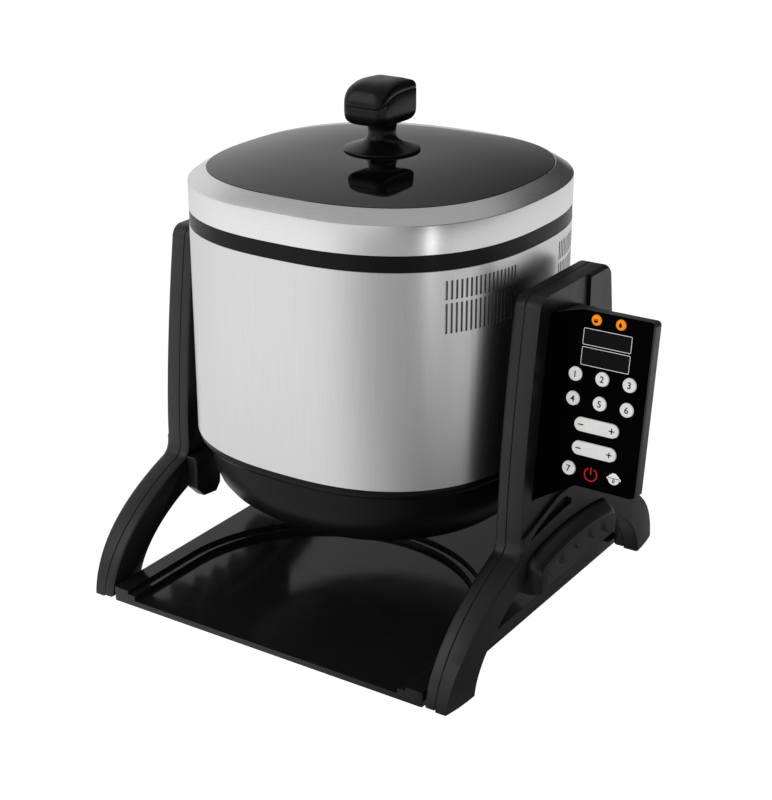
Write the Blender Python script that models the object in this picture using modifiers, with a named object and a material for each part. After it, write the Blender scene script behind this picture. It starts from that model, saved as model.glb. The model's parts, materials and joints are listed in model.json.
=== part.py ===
"""A table-top cooking machine with a tilting drum, as separate parts. Metres, +Z up.

A rounded-square drum with a glass lid hangs on two trunnions between two arched side stands, over a low
base tray. A control wing stands out of the right stand. X runs to the machine's right, along the tilt
axis, Y runs to its back, and the origin lies on the floor under the middle of the whole machine.
"""

import math

import bmesh
import bpy
from mathutils import Matrix, Vector

# Driving dimensions, in metres
GAP = 0.0003
DRUM_HALF = 0.160
DRUM_CORNER = 2.5
DRUM_SIDES = 48
JACKET_LOW = 0.1577
JACKET_HIGH = 0.3508
BAND_HIGH = 0.3645
LID_SHOULDER = 0.3892
LID_TOP = 0.400
GLASS_HALF = 0.1439
GLASS_CROWN = 0.0105
GLASS_SEAT = 0.0365
BOWL_LOW = 0.070
BOWL_HALF = 0.150
OVERALL_HEIGHT = 0.473
TILT_HEIGHT = 0.235
POT_HALF = 0.132

STAND_INNER_FACE = 0.1707
STAND_SEAM = 0.1810
STAND_OUTER_FACE = 0.1985
COLUMN_FACE = 0.1955
STAND_TOP = 0.3243
STAND_REACH = 0.197
ARCH_CROWN = 0.1175
ARCH_POWER = 1.77
OPENING_REACH = 0.1575
OPENING_CROWN = 0.087
OPENING_POWER = 1.8
COLUMN_HALF = 0.0835
LEFT_COLUMN_INSET = 0.0045
WALL = 0.0025

GRIP_REACH = 0.211
GRIP_HALF = 0.0745
GRIP_CROWN = 0.1005
FINGER_PITCH = 0.029
FINGER_DEPTH = 0.0055

TRAY_HALF_X = 0.1686
TRAY_HALF_Y = 0.1968
TRAY_LOW = 0.001
TRAY_FLOOR = 0.0065
TRAY_STEP = 0.0115
TRAY_DECK = 0.0150
LANDING_CENTRE_Y = -0.105
LANDING_HALF = 0.144
STEP_WIDTH = 0.008
SCREW_HEIGHT = 0.0108

PANEL_TILT = math.radians(7.3)
PANEL_Y = -0.046
PANEL_Z = 0.220
PANEL_RIGHT = 0.2825
WING_TIP = 0.284
PANEL_TOP = 0.0935
PANEL_BOTTOM = -0.0565
WING_ROOT_BOTTOM = -0.0760
WING_DEPTH = 0.0155
FACE_THICKNESS = 0.003
KEY_RADIUS = 0.006
KEY_SIDES = 18
KEY_PROUD = 0.0012
KEY_PITCH = 0.02465
KEY_COLUMN = 0.2434
LAMP_RADIUS = 0.0045
ROCKER_LENGTH = 0.0404

GEAR_MODULE = 0.002
GEAR_TEETH = 36
PINION_TEETH = 12
PRESSURE_ANGLE = math.radians(25)
GEAR_BACKLASH = 0.0004
GEAR_SPACING = GEAR_MODULE * (GEAR_TEETH + PINION_TEETH) / 2 + 0.0003

SHIFT_X = (GRIP_REACH - WING_TIP) / 2

YZ_TO_WORLD = Matrix(((0, 0, 1), (1, 0, 0), (0, 1, 0))).to_4x4()

COLOURS = {
    "steel": ((0.72, 0.71, 0.70), 0.32, 1.0),
    "bright": ((0.85, 0.85, 0.85), 0.22, 1.0),
    "satin": ((0.035, 0.035, 0.037), 0.38, 0.0),
    "gloss": ((0.008, 0.008, 0.010), 0.08, 0.0),
    "glass": ((0.02, 0.02, 0.022), 0.05, 0.0),
    "key": ((0.88, 0.88, 0.88), 0.4, 0.0),
    "lamp": ((1.0, 0.45, 0.03), 0.3, 0.0),
    "rubber": ((0.02, 0.02, 0.02), 0.8, 0.0),
    "board": ((0.03, 0.20, 0.08), 0.5, 0.0),
    "brass": ((0.70, 0.50, 0.20), 0.35, 1.0),
    "pot": ((0.10, 0.10, 0.11), 0.35, 0.3),
}


def clear_scene():
    for obj in list(bpy.data.objects):
        bpy.data.objects.remove(obj, do_unlink=True)


def collection(name):
    made = bpy.data.collections.new(name)
    bpy.context.scene.collection.children.link(made)
    return made


def material(name, look):
    colour, roughness, metallic = COLOURS[look]
    made = bpy.data.materials.new(name)
    made.use_nodes = True
    shader = made.node_tree.nodes["Principled BSDF"]
    shader.inputs["Base Color"].default_value = (*colour, 1.0)
    shader.inputs["Roughness"].default_value = roughness
    shader.inputs["Metallic"].default_value = metallic
    made.diffuse_color = (*colour, 1.0)
    return made


def empty(name, location, parent=None, rotation=(0, 0, 0)):
    made = bpy.data.objects.new(name, None)
    made.empty_display_size = 0.02
    made.location = location
    made.rotation_euler = rotation
    made.parent = parent
    PARTS.objects.link(made)
    return made


def mesh_of(faces_maker):
    """A mesh filled by a function that adds to a bmesh."""
    data = bmesh.new()
    faces_maker(data)
    mesh = bpy.data.meshes.new("mesh")
    data.to_mesh(mesh)
    data.free()
    return mesh


def loft(rings, joined=False):
    """A mesh through rings with equally many points, capped at its ends, or joined last ring to first."""

    def fill(data):
        loops = [[data.verts.new(point) for point in ring] for ring in rings]
        following = loops[1:] + (loops[:1] if joined else [])
        sides = []
        for low, high in zip(loops, following):
            for i in range(len(low)):
                j = (i + 1) % len(low)
                sides.append(data.faces.new((low[i], low[j], high[j], high[i])))
        if not joined:
            data.faces.new(list(reversed(loops[0])))
            data.faces.new(loops[-1])
        bmesh.ops.triangulate(data, faces=sides)
        bmesh.ops.recalc_face_normals(data, faces=data.faces)

    return mesh_of(fill)


def prism(points, low, high, frame=None):
    """A flat outline extruded from low to high along its normal, from a filled 2D curve."""
    curve = bpy.data.curves.new("outline", "CURVE")
    curve.dimensions = "2D"
    curve.fill_mode = "BOTH"
    curve.extrude = (high - low) / 2
    spline = curve.splines.new("POLY")
    spline.points.add(len(points) - 1)
    for point, (u, v) in zip(spline.points, points):
        point.co = (u, v, 0, 1)
    spline.use_cyclic_u = True
    guide = bpy.data.objects.new("outline", curve)
    bpy.context.scene.collection.objects.link(guide)
    graph = bpy.context.evaluated_depsgraph_get()
    mesh = bpy.data.meshes.new_from_object(guide.evaluated_get(graph))
    bpy.data.objects.remove(guide, do_unlink=True)
    data = bmesh.new()
    data.from_mesh(mesh)
    bmesh.ops.remove_doubles(data, verts=data.verts, dist=0.000001)
    bmesh.ops.dissolve_limit(data, angle_limit=0.001, verts=data.verts, edges=data.edges)
    bmesh.ops.recalc_face_normals(data, faces=data.faces)
    data.to_mesh(mesh)
    data.free()
    mesh.transform(Matrix.Translation((0, 0, (low + high) / 2)))
    if frame is not None:
        mesh.transform(frame)
    return mesh


def yz_prism(points, low, high):
    """An outline in Y and Z, extruded along X from low to high."""
    return prism(points, min(low, high), max(low, high), YZ_TO_WORLD)


def box(low, high):
    """A box between two opposite corners."""
    size = [top - bottom for bottom, top in zip(low, high)]
    middle = [(top + bottom) / 2 for bottom, top in zip(low, high)]

    def fill(data):
        bmesh.ops.create_cube(data, size=1, matrix=Matrix.Translation(middle) @ Matrix.Diagonal((*size, 1)))

    return mesh_of(fill)


def cylinder(radius, low, high, axis="Z", centre=(0, 0), sides=28, top_radius=None):
    """A cylinder or cone along an axis from low to high; centre holds its other two coordinates."""
    turns = {"Z": Matrix.Identity(4), "X": YZ_TO_WORLD, "Y": Matrix.Rotation(-math.pi / 2, 4, "X")}
    top = radius if top_radius is None else top_radius

    def fill(data):
        bmesh.ops.create_cone(
            data,
            cap_ends=True,
            segments=sides,
            radius1=radius,
            radius2=top,
            depth=high - low,
            matrix=turns[axis] @ Matrix.Translation((0, 0, (low + high) / 2)),
        )

    mesh = mesh_of(fill)
    offsets = {"Z": (centre[0], centre[1], 0), "X": (0, centre[0], centre[1]), "Y": (centre[0], 0, centre[1])}
    mesh.transform(Matrix.Translation(offsets[axis]))
    return mesh


def place(name, mesh, look, parent, collection_used=None):
    """An object whose mesh is given in the machine's frame, hung on a parent empty."""
    made = bpy.data.objects.new(name, mesh)
    made.data.name = name
    (collection_used or PARTS).objects.link(made)
    if look:
        made.data.materials.append(material(name, look))
    made.parent = parent
    offset = Vector((0, 0, 0))
    above = parent
    while above is not None and above is not ASSEMBLY:
        offset -= above.location
        above = above.parent
    made.location = offset
    return made


def shade(obj, angle=35):
    obj.data.shade_smooth()
    obj.data.set_sharp_from_angle(angle=math.radians(angle))


def turned(name, profile, look, parent, centre=(0, 0), axis="Z", steps=32):
    """A turned part. The profile lists radius and height down its outer side, then up its inner side."""
    data = bmesh.new()
    corners = [data.verts.new((radius, 0, height)) for radius, height in profile]
    for first, second in zip(corners, corners[1:] + corners[:1]):
        if first.co.x < 1e-9 and second.co.x < 1e-9:
            continue
        data.edges.new((first, second))
    mesh = bpy.data.meshes.new(name)
    data.to_mesh(mesh)
    data.free()
    guide = bpy.data.objects.new("turned", mesh)
    bpy.context.scene.collection.objects.link(guide)
    screw = guide.modifiers.new("turn", "SCREW")
    screw.steps = steps
    screw.render_steps = steps
    screw.use_merge_vertices = True
    screw.merge_threshold = 0.00001
    screw.use_smooth_shade = True
    graph = bpy.context.evaluated_depsgraph_get()
    solid = bpy.data.meshes.new_from_object(guide.evaluated_get(graph))
    bpy.data.objects.remove(guide, do_unlink=True)
    if axis == "X":
        solid.transform(YZ_TO_WORLD)
        solid.transform(Matrix.Translation((0, centre[0], centre[1])))
    else:
        solid.transform(Matrix.Translation((centre[0], centre[1], 0)))
    made = place(name, solid, look, parent)
    shade(made)
    return made


def cut(obj, mesh, operation="DIFFERENCE"):
    """Cuts, joins or crops an object with a mesh given in the machine's frame."""
    tool = place(obj.name + "_" + operation.lower(), mesh, None, obj.parent, CUTTERS)
    tool.location = obj.location
    tool.rotation_euler = obj.rotation_euler
    tool.hide_render = True
    tool.display_type = "WIRE"
    step = obj.modifiers.new(operation.lower(), "BOOLEAN")
    step.operation = operation
    step.solver = "EXACT"
    step.object = tool
    return tool


def squircle(half, height, corner=DRUM_CORNER, count=DRUM_SIDES, centre=(0, 0)):
    """A rounded-square ring of points at a height, round at corner 2 and squarer above it."""
    points = []
    for i in range(count):
        turn = 2 * math.pi * (i + 0.5) / count
        c, s = math.cos(turn), math.sin(turn)
        reach = half * (abs(c) ** corner + abs(s) ** corner) ** (-1 / corner)
        points.append((centre[0] + reach * c, centre[1] + reach * s, height))
    return points


def inset(points, distance):
    """A closed outline, given anticlockwise, moved inwards by a distance with mitred corners."""
    moved = []
    count = len(points)
    for i in range(count):
        before, here, after = (Vector(points[(i + k) % count]) for k in (-1, 0, 1))
        first = (here - before).normalized()
        second = (after - here).normalized()
        normal = Vector((-first.y - second.y, first.x + second.x)).normalized()
        mitre = max(0.35, normal.dot(Vector((-first.y, first.x))))
        moved.append(tuple(here + normal * (distance / mitre)))
    return moved


def rounded_box_outline(low, high, radius, steps=4):
    """An anticlockwise rectangle with round corners, between two opposite corners."""
    centres = [
        (high[0] - radius, low[1] + radius, -90),
        (high[0] - radius, high[1] - radius, 0),
        (low[0] + radius, high[1] - radius, 90),
        (low[0] + radius, low[1] + radius, 180),
    ]
    points = []
    for u, v, start in centres:
        for k in range(steps + 1):
            turn = math.radians(start + 90 * k / steps)
            points.append((u + radius * math.cos(turn), v + radius * math.sin(turn)))
    return points


# Side stands


def arch_height(y):
    """The height of the arch's outer line at a depth."""
    return ARCH_CROWN * max(0, 1 - (abs(y) / STAND_REACH) ** ARCH_POWER) ** (1 / ARCH_POWER)


def column_half(z, narrower):
    """Half the column's depth at a height: it narrows upwards in a soft curve."""
    return COLUMN_HALF - narrower - 0.022 * (max(0, z - 0.125) / 0.2) ** 1.5


def arch_points(reach, crown, power, start, stop, count):
    """Points along an arch from one angle to another; 0 is the foot at +Y and 180 the foot at -Y."""
    points = []
    for k in range(count + 1):
        turn = math.radians(start + (stop - start) * k / count)
        c, s = math.cos(turn), math.sin(turn)
        y = reach * math.copysign(abs(c) ** (2 / power), c)
        points.append((y, crown * abs(s) ** (2 / power)))
    return points


def column_side(narrower):
    """The rear edge of the column, from the fillet at the arch up to the middle of the rounded top corner."""
    points = []
    half = COLUMN_HALF - narrower
    foot = half + 0.009
    corner = (half, arch_height(half))
    top = (half, corner[1] + 0.011)
    start = (foot, arch_height(foot))
    for k in range(5):
        t = k / 4
        weights = ((1 - t) ** 2, 2 * t * (1 - t), t * t)
        points.append(tuple(sum(w * p[i] for w, p in zip(weights, (start, corner, top))) for i in (0, 1)))
    for z in (0.15, 0.20, 0.24, 0.28, 0.312):
        points.append((column_half(z, narrower), z))
    radius = STAND_TOP - 0.312
    for k in range(1, 5):
        turn = math.radians(90 * k / 4)
        y = column_half(0.312, narrower) - radius * (1 - math.cos(turn))
        points.append((y, 0.312 + radius * math.sin(turn)))
    return points


def stand_outline(opening, low, narrower):
    """The stand's side view, anticlockwise from the rear foot's outer corner, with its arch opening."""
    foot = COLUMN_HALF - narrower + 0.009
    knee = math.degrees(math.acos((foot / STAND_REACH) ** (ARCH_POWER / 2)))
    rear_leg = arch_points(STAND_REACH, ARCH_CROWN, ARCH_POWER, 8, knee, 7)[:-1]
    rear = [(STAND_REACH, low)] + rear_leg + column_side(narrower)
    front = [(-y, z) for y, z in reversed(rear)]
    return rear + front + [(-y, z) for y, z in opening_points(opening, low)]


def opening_points(opening, low):
    """The arch opening from its +Y foot to its -Y foot. The grip opening reaches higher, round the grip."""
    arch = [(OPENING_REACH, low)] + arch_points(OPENING_REACH, OPENING_CROWN, OPENING_POWER, 10, 90, 8)
    if opening == "grip":
        half = GRIP_HALF + GAP
        arch = [point for point in arch if point[0] > half + 0.004]
        crossing = OPENING_CROWN * (1 - (half / OPENING_REACH) ** OPENING_POWER) ** (1 / OPENING_POWER)
        arch += [(half, crossing)] + [(y, z) for y, z in grip_top(GAP) if y >= 0]
    return arch + [(-y, z) for y, z in reversed(arch) if y > 1e-9]


def grip_top(clearance, drop=0):
    """The grip's ends and top line from +Y to -Y, moved out by a clearance or down by a drop."""
    radius = 0.010
    half = GRIP_HALF + clearance
    side = []
    for k in range(4):
        turn = math.radians(80 * k / 3)
        side.append((half - radius + radius * math.cos(turn), 0.0845 - drop + radius * math.sin(turn)))
    for y in (0.050, 0.034, 0.017):
        side.append((y, GRIP_CROWN + clearance - drop - 1.4 * y * y))
    return side + [(0, GRIP_CROWN + clearance - drop)] + [(-y, z) for y, z in reversed(side)]


def grip_ring(drop, shorter, finger_depth):
    """The grip's side view in one layer: an arched top, and four finger grooves in the underside."""
    scale = (GRIP_HALF - shorter) / GRIP_HALF
    points = [(y * scale, z) for y, z in grip_top(0, drop)]
    count = 32
    for k in range(count + 1):
        y = (-GRIP_HALF + 2 * GRIP_HALF * k / count) * scale
        finger = math.sin(math.pi * y / FINGER_PITCH) ** 2 if abs(y) < 2 * FINGER_PITCH else 0
        points.append((y, 0.0745 - 2.5 * y * y + shorter * 0.4 + finger_depth * finger))
    return points


def stand_shell(name, side, outer):
    """One moulded half of a stand: a shell with its open side at the seam."""
    narrower = LEFT_COLUMN_INSET if side < 0 else 0
    outline = stand_outline("grip" if outer else "arch", 0.0011 if outer else 0.0025, narrower)
    if outer:
        layers = [(STAND_SEAM + GAP / 2, 0), (0.1945, 0), (0.1966, 0.0008), (STAND_OUTER_FACE, 0.0024)]
        hollow = (STAND_SEAM - 0.001, 0.1905)
    else:
        layers = [(STAND_SEAM - GAP / 2, 0), (0.1725, 0), (0.1712, 0.0006), (STAND_INNER_FACE, 0.0018)]
        hollow = (STAND_INNER_FACE + WALL, STAND_SEAM + 0.001)
    rings = [[(side * x, y, z) for y, z in inset(outline, depth)] for x, depth in layers]
    shell = place(name, loft(rings), "satin", ASSEMBLY)
    cut(shell, yz_prism(inset(outline, WALL), side * hollow[0], side * hollow[1]))
    if outer:
        crop_outer_face(shell, side)
    else:
        cut(shell, cylinder(0.0135, 0.165, 0.18, "X", (0, TILT_HEIGHT)) if side > 0 else
            cylinder(0.0135, -0.18, -0.165, "X", (0, TILT_HEIGHT)))
    for y in (-0.172, 0.172):
        low, high = sorted((side * 0.165, side * 0.174))
        if not outer:
            cut(shell, cylinder(0.0021, low, high, "X", (y, SCREW_HEIGHT), sides=16))
    shade(shell)
    return shell


def crop_outer_face(shell, side):
    """Curves the outer face in plan towards both feet, and steps its upper front part in."""
    plan = [(0.170, -0.21), (0.170, 0.21)]
    for k in range(13):
        y = 0.21 - 0.42 * k / 12
        plan.append((STAND_OUTER_FACE - 0.0068 * (abs(y) / STAND_REACH) ** 6, y))
    plan = [(side * x, y) for x, y in plan]
    cut(shell, prism(plan, -0.01, 0.34), "INTERSECT")
    relief = [(-0.1000, 0.1110), (-0.0805, 0.1170), (-0.0580, 0.1236), (-0.0380, 0.1294), (-0.0210, 0.1340)]
    relief += [(0.0220, 0.1340), (0.0220, 0.3300), (-0.1000, 0.3300)]
    cut(shell, yz_prism(relief, side * COLUMN_FACE, side * 0.2100))
    channel = [(-0.0720, 0.1100), (-0.0550, 0.1125), (-0.0330, 0.1150), (-0.0100, 0.1168), (0.0030, 0.1172)]
    channel += [(0.0030, 0.1215), (-0.0060, 0.1275), (-0.0150, 0.1285), (-0.0240, 0.1275), (-0.0590, 0.1168)]
    cut(shell, yz_prism(channel, side * 0.1935, side * 0.2100))


def build_stands():
    for label, side in (("left", -1), ("right", 1)):
        stand_shell("stand_inner_" + label, side, outer=False)
        stand_shell("stand_outer_" + label, side, outer=True)
        layers = [(0.1860, 0, 0, 1.0), (0.1995, 0, 0, 1.0), (0.2045, 0.0020, 0.0006, 1.1)]
        layers += [(0.2085, 0.0052, 0.0018, 1.6), (GRIP_REACH, 0.0088, 0.0040, 2.4)]
        rings = []
        for x, drop, shorter, deeper in layers:
            rings.append([(side * x, y, z) for y, z in grip_ring(drop, shorter, FINGER_DEPTH * deeper)])
        shade(place("grip_" + label, loft(rings), "satin", ASSEMBLY))
        for end, y in (("front", -0.177), ("rear", 0.177)):
            low, high = sorted((side * 0.1755, side * 0.1875))
            sole = box((low, y - 0.014, 0), (high, y + 0.014, 0.0008))
            pad = place("foot_" + end + "_" + label, sole, "rubber", ASSEMBLY)
            cut(pad, box((low + 0.002, y - 0.010, 0.0002), (high - 0.002, y + 0.010, 0.0062)), "UNION")
            for shell in ("stand_inner_", "stand_outer_"):
                tool = box((low + 0.0017, y - 0.0103, -0.001), (high - 0.0017, y + 0.0103, 0.0066))
                cut(bpy.data.objects[shell + label], tool)


# Tray


def landing_outline(half):
    """The landing recess in plan, anticlockwise: open past the front edge, and round at the back."""
    points = [(-half, -0.25), (half, -0.25)]
    for k in range(21):
        turn = math.pi * k / 20
        points.append((half * math.cos(turn), LANDING_CENTRE_Y + half * math.sin(turn)))
    return points


def build_tray():
    low = (-TRAY_HALF_X, -TRAY_HALF_Y)
    high = (TRAY_HALF_X, TRAY_HALF_Y)
    outline = rounded_box_outline(low, high, 0.002, 2)
    rings = [[(x, y, z) for x, y in inset(outline, depth)] for z, depth in
             ((TRAY_LOW, 0), (TRAY_DECK - 0.001, 0), (TRAY_DECK, 0.001))]
    tray = place("base_tray", loft(rings), "gloss", ASSEMBLY)
    cut(tray, prism(landing_outline(LANDING_HALF), TRAY_FLOOR, 0.03))
    cut(tray, prism(landing_outline(LANDING_HALF + STEP_WIDTH), TRAY_STEP, 0.03))
    cut(tray, box((-0.164, 0.060, -0.01), (0.164, 0.192, TRAY_DECK - 0.003)))
    for side in (-1, 1):
        for y in (-0.172, 0.172):
            low, high = sorted((side * 0.158, side * 0.175))
            cut(tray, cylinder(0.0021, low, high, "X", (y, SCREW_HEIGHT), sides=16))
    shade(tray)


def build_tray_screws():
    """Round-head screws that hold each inner shell to the tray's side."""
    profile = [(0, 0.0024), (0.0022, 0.0022), (0.0036, 0.0010), (0.0036, 0), (0.0017, 0)]
    profile += [(0.0017, -0.0105), (0, -0.0105)]
    for label, side in (("left", -1), ("right", 1)):
        for end, y in (("front", -0.172), ("rear", 0.172)):
            start = STAND_INNER_FACE + WALL + GAP
            points = [(radius, start + height) for radius, height in profile]
            name = "tray_screw_" + end + "_" + label
            screw = turned(name, points, "bright", ASSEMBLY, (y, SCREW_HEIGHT), "X", 12)
            if side < 0:
                screw.data.transform(Matrix.Diagonal((-1, 1, 1, 1)))
                screw.data.flip_normals()


# Drum


def squircle_tube(profile, corner=DRUM_CORNER, count=DRUM_SIDES):
    """A closed ring-shaped mesh through a profile of half width and height, with rounded-square sections."""
    return loft([squircle(half, height, corner, count) for half, height in profile], joined=True)


def slot_angles():
    """Angles of the vent slots, evenly spaced along the jacket's front right corner."""
    first, last, count = math.radians(-38.9), math.radians(-13.9), 17
    return [first + (last - first) * k / (count - 1) for k in range(count)]


def jacket_point(turn):
    """The jacket's surface point at an angle, and the direction that its normal takes there."""
    c, s = math.cos(turn), math.sin(turn)
    reach = DRUM_HALF * (abs(c) ** DRUM_CORNER + abs(s) ** DRUM_CORNER) ** (-1 / DRUM_CORNER)
    x, y = reach * c, reach * s
    steep = DRUM_CORNER - 1
    normal = math.atan2(math.copysign(abs(y) ** steep, y), math.copysign(abs(x) ** steep, x))
    return x, y, normal


def slot_cutter():
    """All the vent slots of one patch as separate thin bars in one mesh, two rows high."""

    def fill(data):
        for turn in slot_angles():
            x, y, normal = jacket_point(turn)
            for low, high in ((0.2966, 0.3228), (0.3257, 0.3421)):
                frame = Matrix.Translation((x, y, (low + high) / 2)) @ Matrix.Rotation(normal, 4, "Z")
                size = Matrix.Diagonal((0.010, 0.0021, high - low, 1))
                bmesh.ops.create_cube(data, size=1, matrix=frame @ size)

    return mesh_of(fill)


def build_shell_of_drum():
    thick = 0.0012
    profile = [(DRUM_HALF, JACKET_LOW), (DRUM_HALF, JACKET_HIGH), (DRUM_HALF - thick, JACKET_HIGH),
               (DRUM_HALF - thick, JACKET_LOW)]
    jacket = place("steel_jacket", squircle_tube(profile), "steel", TILT)
    cut(jacket, slot_cutter())
    mirrored = slot_cutter()
    mirrored.transform(Matrix.Diagonal((1, -1, 1, 1)))
    mirrored.flip_normals()
    cut(jacket, mirrored)
    for side in (-1, 1):
        low, high = sorted((side * 0.150, side * 0.170))
        cut(jacket, cylinder(0.0094, low, high, "X", (0, TILT_HEIGHT), sides=24))
    shade(jacket, 40)

    half = DRUM_HALF - 0.0002
    band = [(half, JACKET_HIGH + GAP), (half, BAND_HIGH), (0.1440, BAND_HIGH), (0.1440, BAND_HIGH - 0.004),
            (0.1560, BAND_HIGH - 0.006), (0.1560, JACKET_HIGH + GAP)]
    rim = place("rim_band", squircle_tube(band), "satin", TILT)
    shade(rim, 40)
    build_bowl()


def bowl_half(z, half, low):
    """The bowl's half width at a height: nearly upright walls that turn into a flat bottom."""
    depth = (0.149 - z) / (0.149 - low)
    return half * max(0.0, 1 - depth ** 4.2) ** (1 / 1.8)


def build_bowl():
    """The black lower casing: a chamfered rim under the steel, then a flat-bottomed bowl."""
    rings = []
    for half, z in ((0.1585, JACKET_LOW - GAP), (0.1588, 0.1540), (0.1572, 0.1490), (0.1512, 0.1485)):
        rings.append(squircle(half, z))
    for z in (0.130, 0.107, 0.091, 0.080, 0.0735):
        depth = (0.149 - z) / (0.149 - BOWL_LOW)
        rings.append(squircle(bowl_half(z, BOWL_HALF, BOWL_LOW), z, DRUM_CORNER - 0.4 * depth))
    rings.append(squircle(0.030, BOWL_LOW, 2.1))
    inner = [squircle(0.030, BOWL_LOW + 0.003, 2.1)]
    for z in (0.0785, 0.090, 0.110, 0.149):
        depth = (0.149 - z) / (0.149 - BOWL_LOW)
        inner.append(squircle(bowl_half(z, BOWL_HALF, BOWL_LOW) - 0.0032, z, DRUM_CORNER - 0.4 * depth))
    inner.append(squircle(0.1500, JACKET_LOW - GAP))
    bowl = place("bottom_bowl", loft(rings + inner, joined=True), "satin", TILT)
    cut(bowl, cylinder(0.0312, BOWL_LOW - 0.0005, BOWL_LOW + 0.0035), "UNION")
    for k in range(5):
        x = -0.014 + 0.007 * k
        cut(bowl, box((x - 0.0012, -0.018, BOWL_LOW - 0.01), (x + 0.0012, 0.018, BOWL_LOW + 0.01)))
    shade(bowl)


def build_inside_of_drum():
    shield = [(0.1400, 0.3440), (0.1400, 0.1800), (0.1180, 0.1400), (0.0500, 0.1400), (0.0500, 0.1410),
              (0.1174, 0.1410), (0.1390, 0.1803), (0.1390, 0.3440)]
    turned("heat_shield", shield, "bright", TILT)
    heater = [(0.1050, 0.1560), (0.1050, 0.1460), (0.0560, 0.1460), (0.0560, 0.1520)]
    turned("heater", heater, "satin", TILT)
    motor = [(0.0300, 0.1380), (0.0300, 0.0980), (0, 0.0980), (0, 0.1100), (0.0050, 0.1100), (0.0050, 0.1380)]
    turned("pot_motor", motor, "bright", TILT, steps=32)
    thermostat = [(0.0090, 0.1560), (0.0090, 0.1430), (0, 0.1430), (0, 0.1560)]
    turned("thermostat", thermostat, "brass", TILT, centre=(0.044, 0), steps=20)
    frame = place("fan_frame", box((-0.098, -0.030, 0.0960), (-0.038, 0.030, 0.1100)), "satin", TILT)
    cut(frame, cylinder(0.0275, 0.0985, 0.12, centre=(-0.068, 0)))
    cut(frame, cylinder(0.0240, 0.09, 0.12, centre=(-0.068, 0)))
    cut(frame, box((-0.094, -0.003, 0.0962), (-0.042, 0.003, 0.0982)), "UNION")
    shade(frame)
    shaft = [(0, 0.1640), (0.0200, 0.1640), (0.0200, 0.1595), (0.0046, 0.1575), (0.0046, 0.1120), (0, 0.1120)]
    turned("pot_shaft", shaft, "bright", POT, steps=24)


def build_fan_rotor():
    """A five-bladed rotor: twisted blades joined to a hub."""
    centre = Vector((-0.068, 0, 0.1045))
    hub = place("fan_rotor", cylinder(0.0100, 0.0990, 0.1090, centre=(centre.x, 0), sides=24), "satin", FAN)
    for k in range(5):
        turn = Matrix.Translation(centre) @ Matrix.Rotation(2 * math.pi * k / 5, 4, "Z")
        twist = turn @ Matrix.Translation((0.0155, 0, 0)) @ Matrix.Rotation(math.radians(35), 4, "X")
        blade = box((-0.0075, -0.0055, -0.0006), (0.0075, 0.0055, 0.0006))
        blade.transform(twist)
        cut(hub, blade, "UNION")
    shade(hub)


def build_pot():
    """The rotating pot: a round-bottomed bowl with a rolled rim and three stirring fins."""
    thick = 0.0018
    outer = [(POT_HALF + 0.004, 0.3560), (POT_HALF + 0.004, 0.3545), (POT_HALF, 0.3530)]
    inner = []
    for k in range(8):
        turn = math.radians(90 * k / 7)
        reach = math.cos(turn) ** 0.75
        drop = math.sin(turn) ** 1.15
        outer.append((POT_HALF * reach, 0.270 - 0.104 * drop))
        inner.append(((POT_HALF - thick) * reach, 0.270 - (0.104 - thick) * drop))
    outer[-1] = (0, outer[-1][1])
    inner[-1] = (0, inner[-1][1])
    profile = outer + list(reversed(inner)) + [(POT_HALF - thick, 0.3545)]
    pot = turned("inner_pot", profile, "pot", POT, steps=30)
    for k in range(3):
        fin = [(0.1000, 0.2050), (0.1310, 0.2300), (0.1310, 0.3000), (0.1200, 0.3000), (0.1080, 0.2500)]
        blade = prism([(u, v) for u, v in fin], -0.0016, 0.0016, Matrix.Rotation(math.pi / 2, 4, "X"))
        blade.transform(Matrix.Rotation(2 * math.pi * k / 3, 4, "Z"))
        cut(pot, blade, "UNION")


def crown(half, height, rise):
    """Rings of a domed plate, from its edge to the flat round seat in its middle."""
    rings = []
    for k in range(4):
        reach = half + (GLASS_SEAT - half) * k / 3
        corner = 2 + (DRUM_CORNER - 2) * (1 - k / 3)
        rings.append(squircle(reach, height + rise * (1 - (1 - k / 3) ** 2), corner))
    return rings


def build_lid():
    ring = [(DRUM_HALF, BAND_HIGH + GAP), (DRUM_HALF, LID_SHOULDER), (0.1590, LID_SHOULDER + 0.0012),
            (0.1450, LID_TOP - 0.0003), (GLASS_HALF + 0.0003, LID_TOP - 0.0005),
            (GLASS_HALF + 0.0003, LID_TOP - 0.0046), (0.1365, LID_TOP - 0.0046), (0.1365, 0.3850),
            (0.1500, 0.3800), (0.1500, BAND_HIGH + GAP)]
    shade(place("lid_ring", squircle_tube(ring), "bright", LID), 30)
    top = crown(GLASS_HALF, LID_TOP, GLASS_CROWN)
    bottom = crown(GLASS_HALF, LID_TOP - 0.0043, GLASS_CROWN)
    glass = place("lid_glass", loft(list(reversed(bottom)) + top), "glass", LID)
    cut(glass, cylinder(0.0028, 0.38, 0.43, sides=16))
    shade(glass, 40)
    gasket = [(0.1362, 0.3948), (0.1362, 0.3900), (0.1310, 0.3900), (0.1310, 0.3948)]
    place("lid_gasket", squircle_tube(gasket), "rubber", LID)
    build_knob()


def knob_ring(half, front, back, height, rise=0.0, power=4, fall=0.0):
    """One section of the knob's head: soft front corners, crisp rear ones, a height that climbs backwards."""
    points = []
    for side, end, radius, start in ((1, front, 0.0085, -90), (1, back, 0.003, 0), (-1, back, 0.003, 90),
                                     (-1, front, 0.0085, 180)):
        radius = min(radius, half * 0.5)
        way = 1 if end == front else -1
        for k in range(5):
            turn = math.radians(start + 90 * k / 4)
            x = side * (half - radius) + radius * math.cos(turn)
            y = end + way * radius + radius * math.sin(turn)
            part = (y - front) / (back - front)
            points.append((x, y, height + rise * (1 - (1 - part) ** power) - fall * part ** 3))
    return points


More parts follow.
